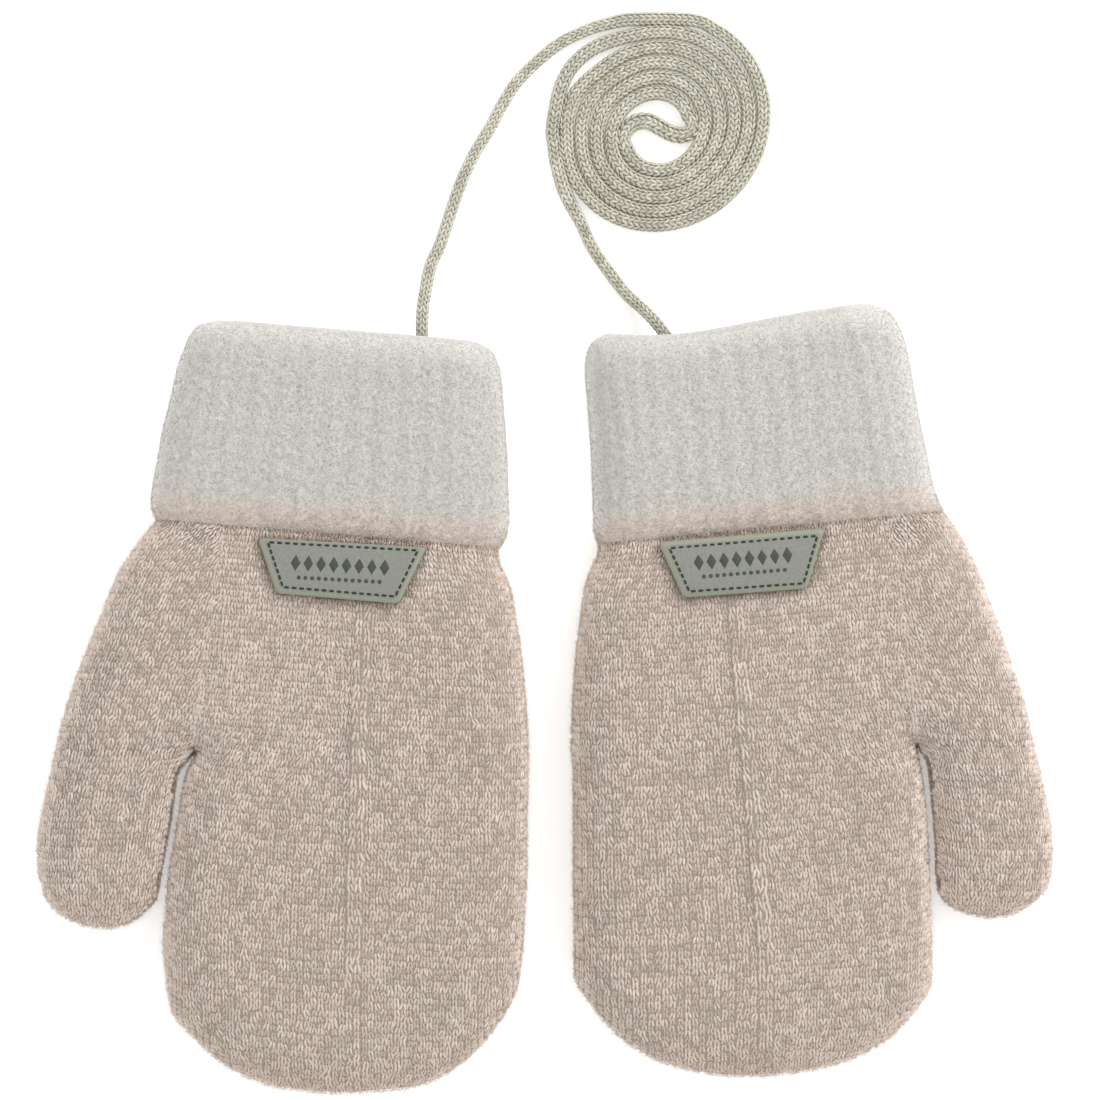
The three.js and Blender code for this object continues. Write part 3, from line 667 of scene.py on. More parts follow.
def stitch_tree():
    """Sets one shape on every point, turned to the point's own facing and along directions."""
    tree = new_tree("lay_stitches", {
        "Shape": ("NodeSocketObject", None),
        "Width": ("NodeSocketFloat", 0.001),
        "Length": ("NodeSocketFloat", 0.001),
        "Thickness": ("NodeSocketFloat", 0.001),
        "Unevenness": ("NodeSocketFloat", 0.08),
        "Seed": ("NodeSocketInt", 1),
        "Material": ("NodeSocketMaterial", None),
    })
    given = add_node(tree, "NodeGroupInput").outputs
    shape = add_node(tree, "GeometryNodeObjectInfo", links={"Object": given["Shape"]})

    def field(name, kind):
        return add_node(
            tree, "GeometryNodeInputNamedAttribute", {"data_type": kind}, {"Name": name}
        ).outputs["Attribute"]

    upright = add_node(
        tree,
        "FunctionNodeAlignRotationToVector",
        {"axis": "Z"},
        links={"Vector": field("facing", "FLOAT_VECTOR")},
    )
    turned = add_node(
        tree,
        "FunctionNodeAlignRotationToVector",
        {"axis": "Y", "pivot_axis": "Z"},
        links={"Rotation": upright.outputs[0], "Vector": field("along", "FLOAT_VECTOR")},
    )
    low = add_node(
        tree, "ShaderNodeMath", {"operation": "SUBTRACT"}, {0: 1.0}, {1: given["Unevenness"]}
    )
    high = add_node(
        tree, "ShaderNodeMath", {"operation": "ADD"}, {0: 1.0}, {1: given["Unevenness"]}
    )
    uneven = add_node(
        tree,
        "FunctionNodeRandomValue",
        {"data_type": "FLOAT"},
        links={2: low.outputs[0], 3: high.outputs[0], "Seed": given["Seed"]},
    ).outputs[1]
    width = add_node(
        tree,
        "ShaderNodeMath",
        {"operation": "MULTIPLY"},
        links={0: given["Width"], 1: field("crowding", "FLOAT")},
    )
    size = add_node(
        tree,
        "ShaderNodeCombineXYZ",
        links={"X": width.outputs[0], "Y": given["Length"], "Z": given["Thickness"]},
    )
    scale = add_node(
        tree,
        "ShaderNodeVectorMath",
        {"operation": "SCALE"},
        links={0: size.outputs[0], "Scale": uneven},
    )
    laid = add_node(
        tree,
        "GeometryNodeInstanceOnPoints",
        links={
            "Points": given["Geometry"],
            "Instance": shape.outputs["Geometry"],
            "Rotation": turned.outputs[0],
            "Scale": scale.outputs[0],
        },
    )
    finish_instances(tree, laid.outputs[0], uneven, given["Seed"], given["Material"])
    return tree


def nap_tree():
    """Grows short leaning fibres from a mesh, as dense as its own nap value says."""
    tree = new_tree("grow_nap", {
        "Fibre": ("NodeSocketObject", None),
        "Density": ("NodeSocketFloat", 1e6),
        "Length": ("NodeSocketFloat", 0.001),
        "Thickness": ("NodeSocketFloat", 0.0001),
        "Least lean": ("NodeSocketFloat", 0.9),
        "Most lean": ("NodeSocketFloat", 1.5),
        "Seed": ("NodeSocketInt", 1),
        "Material": ("NodeSocketMaterial", None),
    })
    given = add_node(tree, "NodeGroupInput").outputs
    fibre = add_node(tree, "GeometryNodeObjectInfo", links={"Object": given["Fibre"]})
    nap = add_node(
        tree, "GeometryNodeInputNamedAttribute", {"data_type": "FLOAT"}, {"Name": "nap"}
    )
    density = add_node(
        tree,
        "ShaderNodeMath",
        {"operation": "MULTIPLY"},
        links={0: given["Density"], 1: nap.outputs["Attribute"]},
    )
    roots = add_node(
        tree,
        "GeometryNodeDistributePointsOnFaces",
        {"distribute_method": "RANDOM"},
        links={"Mesh": given["Geometry"], "Density": density.outputs[0], "Seed": given["Seed"]},
    )
    turn = add_node(
        tree,
        "FunctionNodeRandomValue",
        {"data_type": "FLOAT"},
        {3: 2 * math.pi},
        {"Seed": given["Seed"]},
    )
    lean = add_node(
        tree,
        "FunctionNodeRandomValue",
        {"data_type": "FLOAT"},
        links={2: given["Least lean"], 3: given["Most lean"], "Seed": given["Seed"]},
    )
    tree.nodes[-1].inputs["ID"].default_value = 0
    leaning = add_node(
        tree,
        "FunctionNodeEulerToRotation",
        links={0: add_node(
            tree,
            "ShaderNodeCombineXYZ",
            links={"X": lean.outputs[1], "Z": turn.outputs[1]},
        ).outputs[0]},
    )
    rotation = add_node(
        tree,
        "FunctionNodeRotateRotation",
        {"rotation_space": "LOCAL"},
        links={"Rotation": roots.outputs["Rotation"], "Rotate By": leaning.outputs[0]},
    )
    size = add_node(
        tree,
        "ShaderNodeCombineXYZ",
        links={"X": given["Thickness"], "Y": given["Thickness"], "Z": given["Length"]},
    )
    uneven = add_node(
        tree,
        "FunctionNodeRandomValue",
        {"data_type": "FLOAT"},
        {2: 0.6, 3: 1.3},
        {"Seed": given["Seed"]},
    )
    scale = add_node(
        tree,
        "ShaderNodeVectorMath",
        {"operation": "SCALE"},
        links={0: size.outputs[0], "Scale": uneven.outputs[1]},
    )
    grown = add_node(
        tree,
        "GeometryNodeInstanceOnPoints",
        links={
            "Points": roots.outputs["Points"],
            "Instance": fibre.outputs["Geometry"],
            "Rotation": rotation.outputs[0],
            "Scale": scale.outputs[0],
        },
    )
    finish_instances(tree, grown.outputs[0], uneven.outputs[1], given["Seed"], given["Material"])
    return tree


def spindle(stations, sides):
    """Points and faces of a closed rod: a tip, rings and a tip, each station a centre and a radius."""
    first, *rings, last = stations
    points = [first[:3]]
    for x, y, z, across, deep in rings:
        for k in range(sides):
            angle = 2 * math.pi * (k + 0.25 * sides) / sides
            points.append((x + across * math.cos(angle), y, z + deep * math.sin(angle)))
    points.append(last[:3])
    faces = [(0, 1 + (k + 1) % sides, 1 + k) for k in range(sides)]
    for ring in range(len(rings) - 1):
        start = 1 + ring * sides
        for k in range(sides):
            near, far = start + k, start + (k + 1) % sides
            faces.append((near, far, far + sides, near + sides))
    start = 1 + (len(rings) - 1) * sides
    end = len(points) - 1
    faces += [(start + k, start + (k + 1) % sides, end) for k in range(sides)]
    return points, faces


def shape_object(name, points, faces):
    """A pattern shape of unit size in metres, turned right side out."""
    mesh = bpy.data.meshes.new(name)
    mesh.from_pydata([tuple(p) for p in points], [], faces)
    mesh.polygons.foreach_set("use_smooth", [True] * len(mesh.polygons))
    shape = bpy.data.objects.new(name, mesh)
    bpy.context.scene.collection.objects.link(shape)
    face_out(shape)
    return shape


def face_out(piece):
    """Turns a mesh's faces outwards."""
    import bmesh

    work = bmesh.new()
    work.from_mesh(piece.data)
    bmesh.ops.remove_doubles(work, verts=work.verts, dist=0.002 * MM)
    bmesh.ops.recalc_face_normals(work, faces=work.faces)
    work.to_mesh(piece.data)
    work.free()


def stitch_shape(name, leg):
    """One stitch one wale wide: two legs that lean together towards their far end."""
    points, faces = [], []
    for side in (-1, 1):
        mirrored = [(side * x, y, z, across, deep) for x, y, z, across, deep in leg]
        leg_points, leg_faces = spindle(mirrored, 3)
        start = len(points)
        points += leg_points
        faces += [tuple(start + i for i in face) for face in leg_faces]
    return shape_object(name, points, faces)


def fibre_shape():
    """One straight fibre of unit length, three-sided and pointed."""
    points = [(math.cos(a), math.sin(a), 0.0) for a in (0.0, 2.094, 4.189)] + [(0.0, 0.0, 1.0)]
    return shape_object("fibre_shape", points, [(0, 2, 1), (0, 1, 3), (1, 2, 3), (2, 0, 3)])


STITCHES = stitch_tree()
NAP = nap_tree()
# A leg's stations from its far end: aside, along, up, half breadth and half depth
STITCH = stitch_shape("plain_stitch_shape", [
    (0.1, 0.8, -0.25, 0, 0),
    (0.19, 0.36, 0.18, 0.22, 0.42),
    (0.28, -0.3, 0.0, 0.24, 0.42),
    (0.34, -0.86, -0.4, 0, 0),
])
CHAIN_STITCH = stitch_shape("chain_stitch_shape", [
    (0.04, 0.8, -0.1, 0, 0),
    (0.15, 0.36, 0.25, 0.25, 0.5),
    (0.34, -0.32, 0.05, 0.26, 0.5),
    (0.46, -0.85, -0.5, 0, 0),
])
FIBRE = fibre_shape()


# The cloth


def rounded(distance, reach):
    """A quarter of an ellipse: 0 at the edge and 1 from the reach inwards."""
    share = np.clip(np.asarray(distance, float) / reach, 0, 1)
    return np.sqrt(1 - (1 - share) ** 2)


def rounded_slope(distance, reach):
    """How steeply that quarter ellipse climbs."""
    share = np.clip(np.asarray(distance, float) / reach, 0.001, 1)
    return (1 - share) / np.sqrt(1 - (1 - share) ** 2) / reach


def smoothstep(value, low, high):
    share = np.clip((value - low) / (high - low), 0, 1)
    return share * share * (3 - 2 * share)


def smoothed(table, steps):
    """More rows between a table's rows, on Catmull-Rom curves."""
    rows = np.asarray(table, float)
    padded = np.vstack([2 * rows[0] - rows[1], rows, 2 * rows[-1] - rows[-2]])
    finer = []
    for i in range(len(rows) - 1):
        a, b, c, d = padded[i:i + 4]
        for t in np.arange(steps) / steps:
            finer.append(0.5 * (
                2 * b + (c - a) * t + (2 * a - 5 * b + 4 * c - d) * t ** 2
                + (3 * b - a - 3 * c + d) * t ** 3
            ))
    return np.array([*finer, rows[-1]])


def unit(vectors):
    """Vectors of length one."""
    return vectors / np.maximum(np.linalg.norm(vectors, axis=-1, keepdims=True), 1e-9)


def between_edges(steps):
    """Shares from 0 to 1 that lie close together at both ends."""
    return (1 - np.cos(np.linspace(0, math.pi, steps + 1))) / 2


def level_rows(table):
    """Rows of a tube as outer x and y, inner x and y, and height."""
    y, outer, inner, height = np.array(table, float).T
    return np.column_stack([outer, y, inner, y, height])


def along_row(rows, shares):
    """Places at those shares of each row, and the rows' heights there."""
    start, end = rows[:, None, 0:2], rows[:, None, 2:4]
    places = start + (end - start) * shares[None, :, None]
    return places, np.repeat(rows[:, 4:5], len(shares), axis=1)


ROW_STEPS = 3


class Cloth:
    """The knitted cloth of one mitten: its two tubes' rows, its outline, and its two faces."""

    def __init__(self, mitten):
        self.mitten = mitten
        self.side = mitten["side"]
        self.seam = mitten["palm"][0]
        palm = np.array(mitten["palm"], float)
        hand = level_rows(mitten["hand"])
        thumb = level_rows(mitten["thumb"])
        split_x = hand[0, 0] + self.side * GUSSET_LEAN * (palm[:, 1] - palm[-1, 1])
        share = (split_x - palm[:, 0]) / (palm[:, 2] - palm[:, 0])
        split = palm[:, 0:2] + (palm[:, 2:4] - palm[:, 0:2]) * share[:, None]
        palm_hand = np.column_stack([split, palm[:, 2:]])
        palm_thumb = np.column_stack([palm[:, 0:2], split, palm[:, 4]])
        self.hand = smoothed(np.vstack([palm_hand, hand[1:]]), ROW_STEPS)
        self.thumb = smoothed(np.vstack([palm_thumb, thumb[1:]]), ROW_STEPS)
        self.crotch = (len(palm) - 1) * ROW_STEPS
        below = self.crotch + 1
        self.outline = np.vstack([
            self.thumb[:, 0:2],
            self.thumb[below:-1, 2:4][::-1],
            self.hand[self.crotch:, 0:2],
            self.hand[:-1, 2:4][::-1],
        ])

    def nearest(self, places):
        """Distance to the outline, and the direction away from it into the cloth."""
        start, along = self.outline[:-1], np.diff(self.outline, axis=0)
        length_sq = np.maximum((along ** 2).sum(1), 1e-9)
        inward = unit(np.column_stack([-along[:, 1], along[:, 0]])) * self.side
        distance = np.empty(len(places))
        direction = np.empty((len(places), 2))
        for first in range(0, len(places), 2000):
            part = places[first:first + 2000]
            offset = part[:, None] - start[None]
            share = np.clip((offset * along).sum(2) / length_sq, 0, 1)
            away = offset - share[..., None] * along
            gap = (away ** 2).sum(2)
            best = gap.argmin(1)
            pick = np.arange(len(part))
            found = np.sqrt(gap[pick, best])
            distance[first:first + 2000] = found
            touching = (found < 0.01)[:, None]
            direction[first:first + 2000] = np.where(touching, inward[best], unit(away[pick, best]))
        return distance, direction

    def ridge_x(self, y):
        from_x, from_y, to_x, to_y = self.mitten["ridge"]
        return from_x + (to_x - from_x) * (y - from_y) / (to_y - from_y)

    def ridge_rise(self, x, y):
        """The knitted-in ridge, which starts under the label and fades out before the tip."""
        _, from_y, _, to_y = self.mitten["ridge"]
        fade = smoothstep(from_y - y, 0, RIDGE_FADE_IN) * smoothstep(y - to_y, 0, RIDGE_FADE_OUT)
        share = 1 - np.abs(x - self.ridge_x(y)) / RIDGE_HALF_WIDTH
        return RIDGE_HEIGHT * fade * np.sqrt(np.maximum(share, 0))

    def level(self, places, height):
        """Height of the upper face, and how steeply it climbs away from the outline."""
        distance, inward = self.nearest(places)
        rise = (height - EDGE_HEIGHT) * rounded(distance, TOP_ROUNDING)
        slope = (height - EDGE_HEIGHT) * rounded_slope(distance, TOP_ROUNDING)
        ridge = self.ridge_rise(places[:, 0], places[:, 1])
        return EDGE_HEIGHT + rise + ridge, inward * slope[:, None], rounded(distance, TOP_ROUNDING)

    def top(self, places, height, sunk=STITCH_DEPTH):
        """Points on the upper face, a little under it, with the directions that it faces."""
        z, climb, fullness = self.level(places, height)
        from_seam = self.seam_y(places[:, 0]) - places[:, 1]
        dip = SEAM_DIP * (1 - smoothstep(from_seam, 0, SEAM_DIP_REACH)) * fullness
        facing = unit(np.column_stack([-climb, np.ones(len(places))]))
        return np.column_stack([places, z - dip]) - sunk * facing, facing

    def back(self, places, sunk=STITCH_DEPTH):
        """The same for the face that lies on the surface."""
        distance, inward = self.nearest(places)
        z = EDGE_HEIGHT - EDGE_HEIGHT * rounded(distance, BACK_ROUNDING)
        slope = EDGE_HEIGHT * rounded_slope(distance, BACK_ROUNDING)
        facing = unit(np.column_stack([-inward * slope[:, None], -np.ones(len(places))]))
        return np.column_stack([places, z]) - sunk * facing, facing

    def seam_y(self, x):
        """Where the cuff's seam runs at an x."""
        outer_x, outer_y, inner_x, inner_y, _ = self.seam
        return outer_y + (inner_y - outer_y) * (x - outer_x) / (inner_x - outer_x)

    def fold(self, points):
        """Painted shadow round the label on the upper face: darker the closer outside the label a point
        lies, in place of the shadow that the label casts.
        """
        from_label = outside_of(label_corners(self.mitten), points[:, :2])
        by_label = LABEL_SHADE * (1 - smoothstep(from_label, 0, LABEL_SHADE_REACH))
        return by_label * (points[:, 2] > EDGE_HEIGHT)

    def by_seam(self, points):
        """How close to the cuff's seam a point of the knit lies, under the cuff's down."""
        from_seam = self.seam_y(points[:, 0]) - points[:, 1]
        return 1 - smoothstep(from_seam, FOLD_FROM, FOLD_TO)

    def rim(self, points):
        """How much painted highlight a point gets: at the thin rim, and by the cuff's seam."""
        return np.maximum(rim_values(points), SEAM_PALENESS * self.by_seam(points))

    def palm_height(self, places):
        """Height of the cloth at places on the palm, between its rows."""
        rows = np.array(self.mitten["palm"], float)
        share = (places[:, None, 0] - rows[:, 0]) / (rows[:, 2] - rows[:, 0])
        levels = rows[:, 1] + (rows[:, 3] - rows[:, 1]) * share
        return np.array([np.interp(-y, -level, rows[:, 4]) for y, level in zip(places[:, 1], levels)])


def outside_of(corners, places):
    """How far places lie outside a convex outline, and 0 inside it."""
    along = unit(np.roll(corners, -1, axis=0) - corners)
    outward = np.column_stack([along[:, 1], -along[:, 0]])
    outward *= np.sign(((corners - corners.mean(axis=0)) * outward).sum(axis=1, keepdims=True))
    beyond = ((places[:, None] - corners[None]) * outward).sum(axis=2)
    return np.maximum(beyond.max(axis=1), 0)


def quads(rows, columns, closed, first=0):
    """Faces of a grid of points, closed round its rows or not."""
    faces = []
    for r in range(rows - 1):
        for k in range(columns if closed else columns - 1):
            near, far = first + r * columns + k, first + r * columns + (k + 1) % columns
            faces.append((near, far, far + columns, near + columns))
    return faces


def ridge_shares(cloth, row, steps):
    """Shares of a row that lie close at its ends and over the ridge."""
    across = (row[2] - row[0]) or 1.0
    middle = (cloth.ridge_x(row[1]) - row[0]) / across
    half = RIDGE_HALF_WIDTH / abs(across)
    if not 2 * half < middle < 1 - 2 * half:
        return between_edges(steps)
    side = (steps - RIDGE_COLUMNS) // 2
    rising = np.sin(np.linspace(0, math.pi / 2, side + 1))
    return np.concatenate([
        (1 - rising[::-1]) * (middle - half),
        np.linspace(middle - half, middle + half, RIDGE_COLUMNS + 1)[1:-1],
        1 - (1 - middle - half) * (1 - rising),
    ])


def across_top(cloth, rows, steps, with_ridge, sunk):
    """Points of the upper face in every row."""
    rings = []
    for row in rows:
        shares = ridge_shares(cloth, row, steps) if with_ridge else between_edges(steps)
        places, height = along_row(row[None], shares)
        rings.append(cloth.top(places[0], height[0], sunk)[0])
    return np.array(rings)


def across_back(cloth, rows, steps, sunk):
    """Points of the back face in every row."""
    places, _ = along_row(rows, between_edges(steps))
    return cloth.back(places.reshape(-1, 2), sunk)[0].reshape(*places.shape[:2], 3)


def tube_rings(cloth, rows, steps, with_ridge, sunk):
    """Closed rings over the top and along the back of a tube's rows."""
    top_steps, back_steps = steps
    top = across_top(cloth, rows, top_steps, with_ridge, sunk)
    back = across_back(cloth, rows, back_steps, sunk)[:, 1:-1][:, ::-1]
    return np.concatenate([top, back], axis=1)


def palm_rings(cloth, sunk):
    """Closed rings of the palm, each a thumb's part and a hand's part side by side."""
    thumb_rows = cloth.thumb[:cloth.crotch + 1]
    hand_rows = cloth.hand[:cloth.crotch + 1]
    return np.concatenate([
        across_top(cloth, thumb_rows, THUMB_STEPS[0], False, sunk)[:, :-1],
        across_top(cloth, hand_rows, HAND_STEPS[0], True, sunk),
        across_back(cloth, hand_rows, HAND_STEPS[1], sunk)[:, :-1][:, ::-1],
        across_back(cloth, thumb_rows, THUMB_STEPS[1], sunk)[:, 1:-1][:, ::-1],
    ], axis=1)


def walled(piece, thickness):
    """Gives a one-sided shell a wall inwards, with the lining on its inside."""
    face_out(piece)
    wall = piece.modifiers.new("wall", "SOLIDIFY")
    wall.thickness = thickness * MM
    wall.offset = -1.0
    wall.use_quality_normals = True
    wall.material_offset = 1
    return applied(piece)


def rim_values(points, heights=(7.0, 11.5)):
    """How near a point is to the thin rim, which is painted paler: a painted highlight for the light that
    shines through its thin edge of down.
    """
    return 1 - smoothstep(points[:, 2], *heights)


def nap_values(points):
    """How much down shows at a point: none where the cloth lies on the surface."""
    return smoothstep(points[:, 2], 1.0, 4.0)


RIDGE_COLUMNS = 6
HAND_STEPS = (34, 14)
THUMB_STEPS = (10, 6)


def hand_surface(cloth, sunk):
    """The hand's tube: the palm with the thumb's root, and the closed end over the fingers."""
    palm = palm_rings(cloth, sunk)
    fingers = tube_rings(cloth, cloth.hand[cloth.crotch:], HAND_STEPS, True, sunk)
    points = np.vstack([palm.reshape(-1, 3), fingers.reshape(-1, 3)])
    faces = quads(*palm.shape[:2], True)
    faces += quads(*fingers.shape[:2], True, first=palm.shape[0] * palm.shape[1])
    return points, faces


def thumb_surface(cloth, sunk):
    """The thumb's tube, closed at its end."""
    rows = cloth.thumb[cloth.crotch:].copy()
    rows[0, [1, 3]] -= THUMB_GAP
    rings = tube_rings(cloth, rows, THUMB_STEPS, False, sunk)
    return rings.reshape(-1, 3), quads(*rings.shape[:2], True)


def knit_shell(name, cloth, points, faces):
    """A knitted tube as a walled shell."""
    values = {"fold": cloth.fold(points), "under": 1 - smoothstep(points[:, 2], 1.5, 3.5)}
    return walled(mesh_piece(name, points, faces, [GROUND, LINING], values), KNIT_WALL)


def breadths(cloth, rows):
    """How far each place of a row lies from its outer end, measured over the cloth."""
    shares = between_edges(90)
    places, height = along_row(rows, shares)
    points = cloth.top(places.reshape(-1, 2), height.ravel())[0].reshape(*places.shape[:2], 3)
    steps = np.linalg.norm(np.diff(points, axis=1), axis=2)
    return shares, np.hstack([np.zeros((len(rows), 1)), np.cumsum(steps, axis=1)])


def spread(start, end, count):
    """The middles of so many equal steps."""
    return start + (end - start) * (np.arange(count) + 0.5) / count


def row_places(row, shares, breadth, wanted):
    """Places and height of a row at those breadths."""
    found = np.interp(wanted, breadth, shares)
    return np.column_stack([
        row[0] + (row[2] - row[0]) * found,
        row[1] + (row[3] - row[1]) * found,
        np.full(len(found), row[4]),
    ])


def hand_wales(cloth):
    """Wales of the hand in every row: an even spread on each side of the ridge's own two."""
    rows = cloth.hand
    shares, breadth = breadths(cloth, rows)
    grid = []
    for row, across in zip(rows, breadth):
        share = (cloth.ridge_x(row[1]) - row[0]) / ((row[2] - row[0]) or 1.0)
        ridge = np.interp(share, shares, across)
        wanted = np.concatenate([
            spread(0, ridge - RIDGE_WALE - RIDGE_GROOVE, OUTER_WALES),
            spread(ridge - RIDGE_WALE, ridge + RIDGE_WALE, 2),
            spread(ridge + RIDGE_WALE + RIDGE_GROOVE, across[-1], INNER_WALES),
        ])
        grid.append(row_places(row, shares, across, wanted))
    return eased(np.array(grid))


def thumb_wales(cloth):
    """Wales of the thumb, which run up the palm side by side with its outer edge."""
    rows = cloth.thumb
    shares, breadth = breadths(cloth, rows)
    grid = np.array([
        row_places(row, shares, across, spread(0, across[-1], THUMB_WALES))
        for row, across in zip(rows, breadth)
    ])
    root = cloth.crotch
    for r in range(root):
        grid[r, :, :2] = grid[root, :, :2] + rows[r, :2] - rows[root, :2]
    return eased(grid)


def eased(grid, passes=10):
    """The same wales with their sudden bends smoothed out."""
    for _ in range(passes):
        grid[1:-1] = (grid[:-2] + 2 * grid[1:-1] + grid[2:]) / 4
    return grid


def run_to_tip(rows, grid, tip_y):
    """Wales that run straight on to the tip from where the end's curve begins."""
    kept = grid[rows[:, 1] >= tip_y]
    levels = np.arange(kept[-1, :, 1].mean() - 1.0, rows[-1, 1] - 1.0, -1.0)
    below = np.repeat(kept[-1:], len(levels), axis=0)
    below[:, :, 1] = levels[:, None]
    below[:, :, 2] = np.interp(-levels, -rows[:, 1], rows[:, 4])[:, None]
    return np.concatenate([kept, below])


def knit_points(cloth, rows, grid, course=COURSE):
    """Every stitch of those wales on the upper face, from the cuff's seam to the tip."""
    places, ahead = [], []
    for wale in range(grid.shape[1]):
        path = grid[:, wale]
        points, _ = cloth.top(path[:, :2], path[:, 2])
        run = np.concatenate([[0], np.cumsum(np.linalg.norm(np.diff(points, axis=0), axis=1))])
        wanted = np.arange(0.1 * course, run[-1], course)
        found = np.column_stack([np.interp(wanted, run, path[:, i]) for i in range(3)])
        places.append(found)
        ahead.append(unit(np.gradient(-found[:, :2], axis=0)))
    places, ahead = np.vstack(places), np.vstack(ahead)
    outer = np.interp(-places[:, 1], -rows[:, 1], rows[:, 0])
    inner = np.interp(-places[:, 1], -rows[:, 3], rows[:, 2])
    lap = GUSSET_LAP * (places[:, 1] > cloth.hand[cloth.crotch, 1])
    inside = np.minimum(places[:, 0] - outer, inner + lap - places[:, 0])
    if cloth.side < 0:
        inside = np.minimum(outer - places[:, 0], places[:, 0] - inner + lap)
    points, facing = cloth.top(places[:, :2], places[:, 2])
    distance, _ = cloth.nearest(places[:, :2])
    flat = np.column_stack([ahead, np.zeros(len(ahead))])
    along = unit(flat - (flat * facing).sum(1, keepdims=True) * facing)
    kept = (inside > 0) & (distance > 0.3)
    return points[kept], facing[kept], along[kept]


def rim_points(cloth):
    """Stitches round the rounded rim of the back, in lines that follow the outline."""
    line = cloth.outline
    run = np.concatenate([[0], np.cumsum(np.linalg.norm(np.diff(line, axis=0), axis=1))])
    even = np.arange(0.5 * COURSE, run[-1], COURSE)
    on_line = np.column_stack([np.interp(even, run, line[:, i]) for i in range(2)])
    travel = unit(np.gradient(on_line, axis=0))
    inward = np.column_stack([-travel[:, 1], travel[:, 0]]) * cloth.side
    depths = np.linspace(0, RIM_DEPTH, 60)
    heights = EDGE_HEIGHT * (1 - rounded(depths, BACK_ROUNDING))
    bend = np.concatenate([[0], np.cumsum(np.hypot(np.diff(depths), np.diff(heights)))])
    wanted = (np.arange(RIM_WALES) + 0.5) * bend[-1] / RIM_WALES
    places = np.vstack([on_line + inward * depth for depth in np.interp(wanted, bend, depths)])
    points, facing = cloth.back(places)
    distance, _ = cloth.nearest(places)
    expected = np.repeat(np.interp(wanted, bend, depths), len(on_line))
    kept = distance > 0.9 * expected
    up = np.tile([0.0, 1.0, 0.0], (len(points), 1))
    along = unit(up - (up * facing).sum(1, keepdims=True) * facing)
    return points[kept], facing[kept], along[kept]


def stitched(name, cloth, parts, seed, width=WALE, length=COURSE, thickness=0.62):
    """A piece of real stitches on the given points, none of them quite in line."""
    points, facing, along = parts
    chance = np.random.default_rng(seed)
    aside = np.cross(along, facing)
    sway = chance.normal(0, STITCH_WOBBLE, (3, len(points), 1))
    points = points + (aside * sway[0] + along * sway[1]) * width
    along = unit(along + 2 * aside * sway[2])
    attributes = {
        "facing": facing,
        "along": along,
        "crowding": np.ones(len(points)),
        "fold": cloth.fold(points),
        "rim": cloth.rim(points),
    }
    piece = mesh_piece(name, points, [], [YARN], attributes)
    return run_tree(piece, STITCHES, {
        "Shape": STITCH,
        "Width": width * MM,
        "Length": length * MM,
        "Thickness": thickness * MM,
        "Unevenness": STITCH_UNEVENNESS,
        "Seed": seed,
        "Material": YARN,
    })


def grown(name, surface, density, length, thickness, lean, seed, material):
    """Down that grows from the surface, which it takes the place of."""
    surface.name = name
    return run_tree(surface, NAP, {
        "Fibre": FIBRE,
        "Density": density / MM ** 2,
        "Length": length * MM,
        "Thickness": thickness * MM,
        "Least lean": lean[0],
        "Most lean": lean[1],
        "Seed": seed,
        "Material": material,
    })


def knit_down(name, cloth, points, faces, seed):
    """The short down that lies over the whole brushed knit."""
    # Painted shadow round the label, which also crowds the down there
    fold = cloth.fold(points)
    crowded = np.maximum(fold, cloth.by_seam(points))
    nap = nap_values(points) * (1 + FOLD_DOWN * crowded)
    values = {"nap": nap, "fold": fold, "rim": cloth.rim(points)}
    surface = mesh_piece(name, points, faces, [YARN], values)
    face_out(surface)
    return grown(name, surface, DOWN_DENSITY, 1.05, 0.05, (1.0, 1.5), seed, YARN)


def edge_down(name, cloth, points, faces, seed):
    """The longer, looser down that stands out round the mitten's edge."""
    edge = smoothstep(points[:, 2], 2.0, 4.0) * (1 - smoothstep(points[:, 2], 7.5, 10.0))
    values = {"nap": edge, "fold": cloth.fold(points), "rim": cloth.rim(points)}
    surface = mesh_piece(name, points, faces, [YARN], values)
    face_out(surface)
    return grown(name, surface, EDGE_DOWN_DENSITY, 1.9, 0.035, (0.2, 1.3), seed, YARN)


def cuff_shell(mitten):
    """The turned-up cuff: a tube turned back over at the top, ribbed over its upper face."""
    rows = smoothed(mitten["cuff"], ROW_STEPS)
    rows[0, [1, 3]] -= CUFF_LAP
    outside = rows[:, 5] < 0.1
    from_seam = rows[:, 1] - rows[0, 1]
    rows[:, 4] -= outside * CUFF_DIP * (1 - smoothstep(from_seam, 0, CUFF_DIP_REACH))
    even = np.linspace(0, 1, 6 * RIB_COUNT + 1)
    shares = (even + (1 - np.cos(math.pi * even)) / 2) / 2
    ribs = 0.5 - 0.5 * np.cos(2 * math.pi * RIB_COUNT * even)
    back_shares = between_edges(24)[1:-1][::-1]
    rings = []
    for outer_x, outer_y, inner_x, inner_y, height, inset in rows:
        start, end = np.array((outer_x, outer_y)), np.array((inner_x, inner_y))
        length = np.linalg.norm(end - start)
        ends = inset / length

        bow = mitten["cuff_bow"] * smoothstep(outer_y, *BOW_RISE)

        def section(shares):
            inside = np.minimum(shares, 1 - shares) * length
            places = start + (end - start) * (ends + (1 - 2 * ends) * shares)[:, None]
            places[:, 1] -= bow * np.sin(math.pi * shares ** 2)
            return places, inside

        places, inside = section(shares)
        rise = (height - inset - EDGE_HEIGHT) * rounded(inside, TOP_ROUNDING - inset)
        rib = RIB_HEIGHT * ribs * rounded(inside, TOP_ROUNDING) * (inset < 0.1)
        top = np.column_stack([places, EDGE_HEIGHT + rise + rib])
        places, inside = section(back_shares)
        fall = (EDGE_HEIGHT - inset) * rounded(inside, BACK_ROUNDING - inset)
        rings.append(np.vstack([top, np.column_stack([places, EDGE_HEIGHT - fall])]))
    return np.array(rings), rows


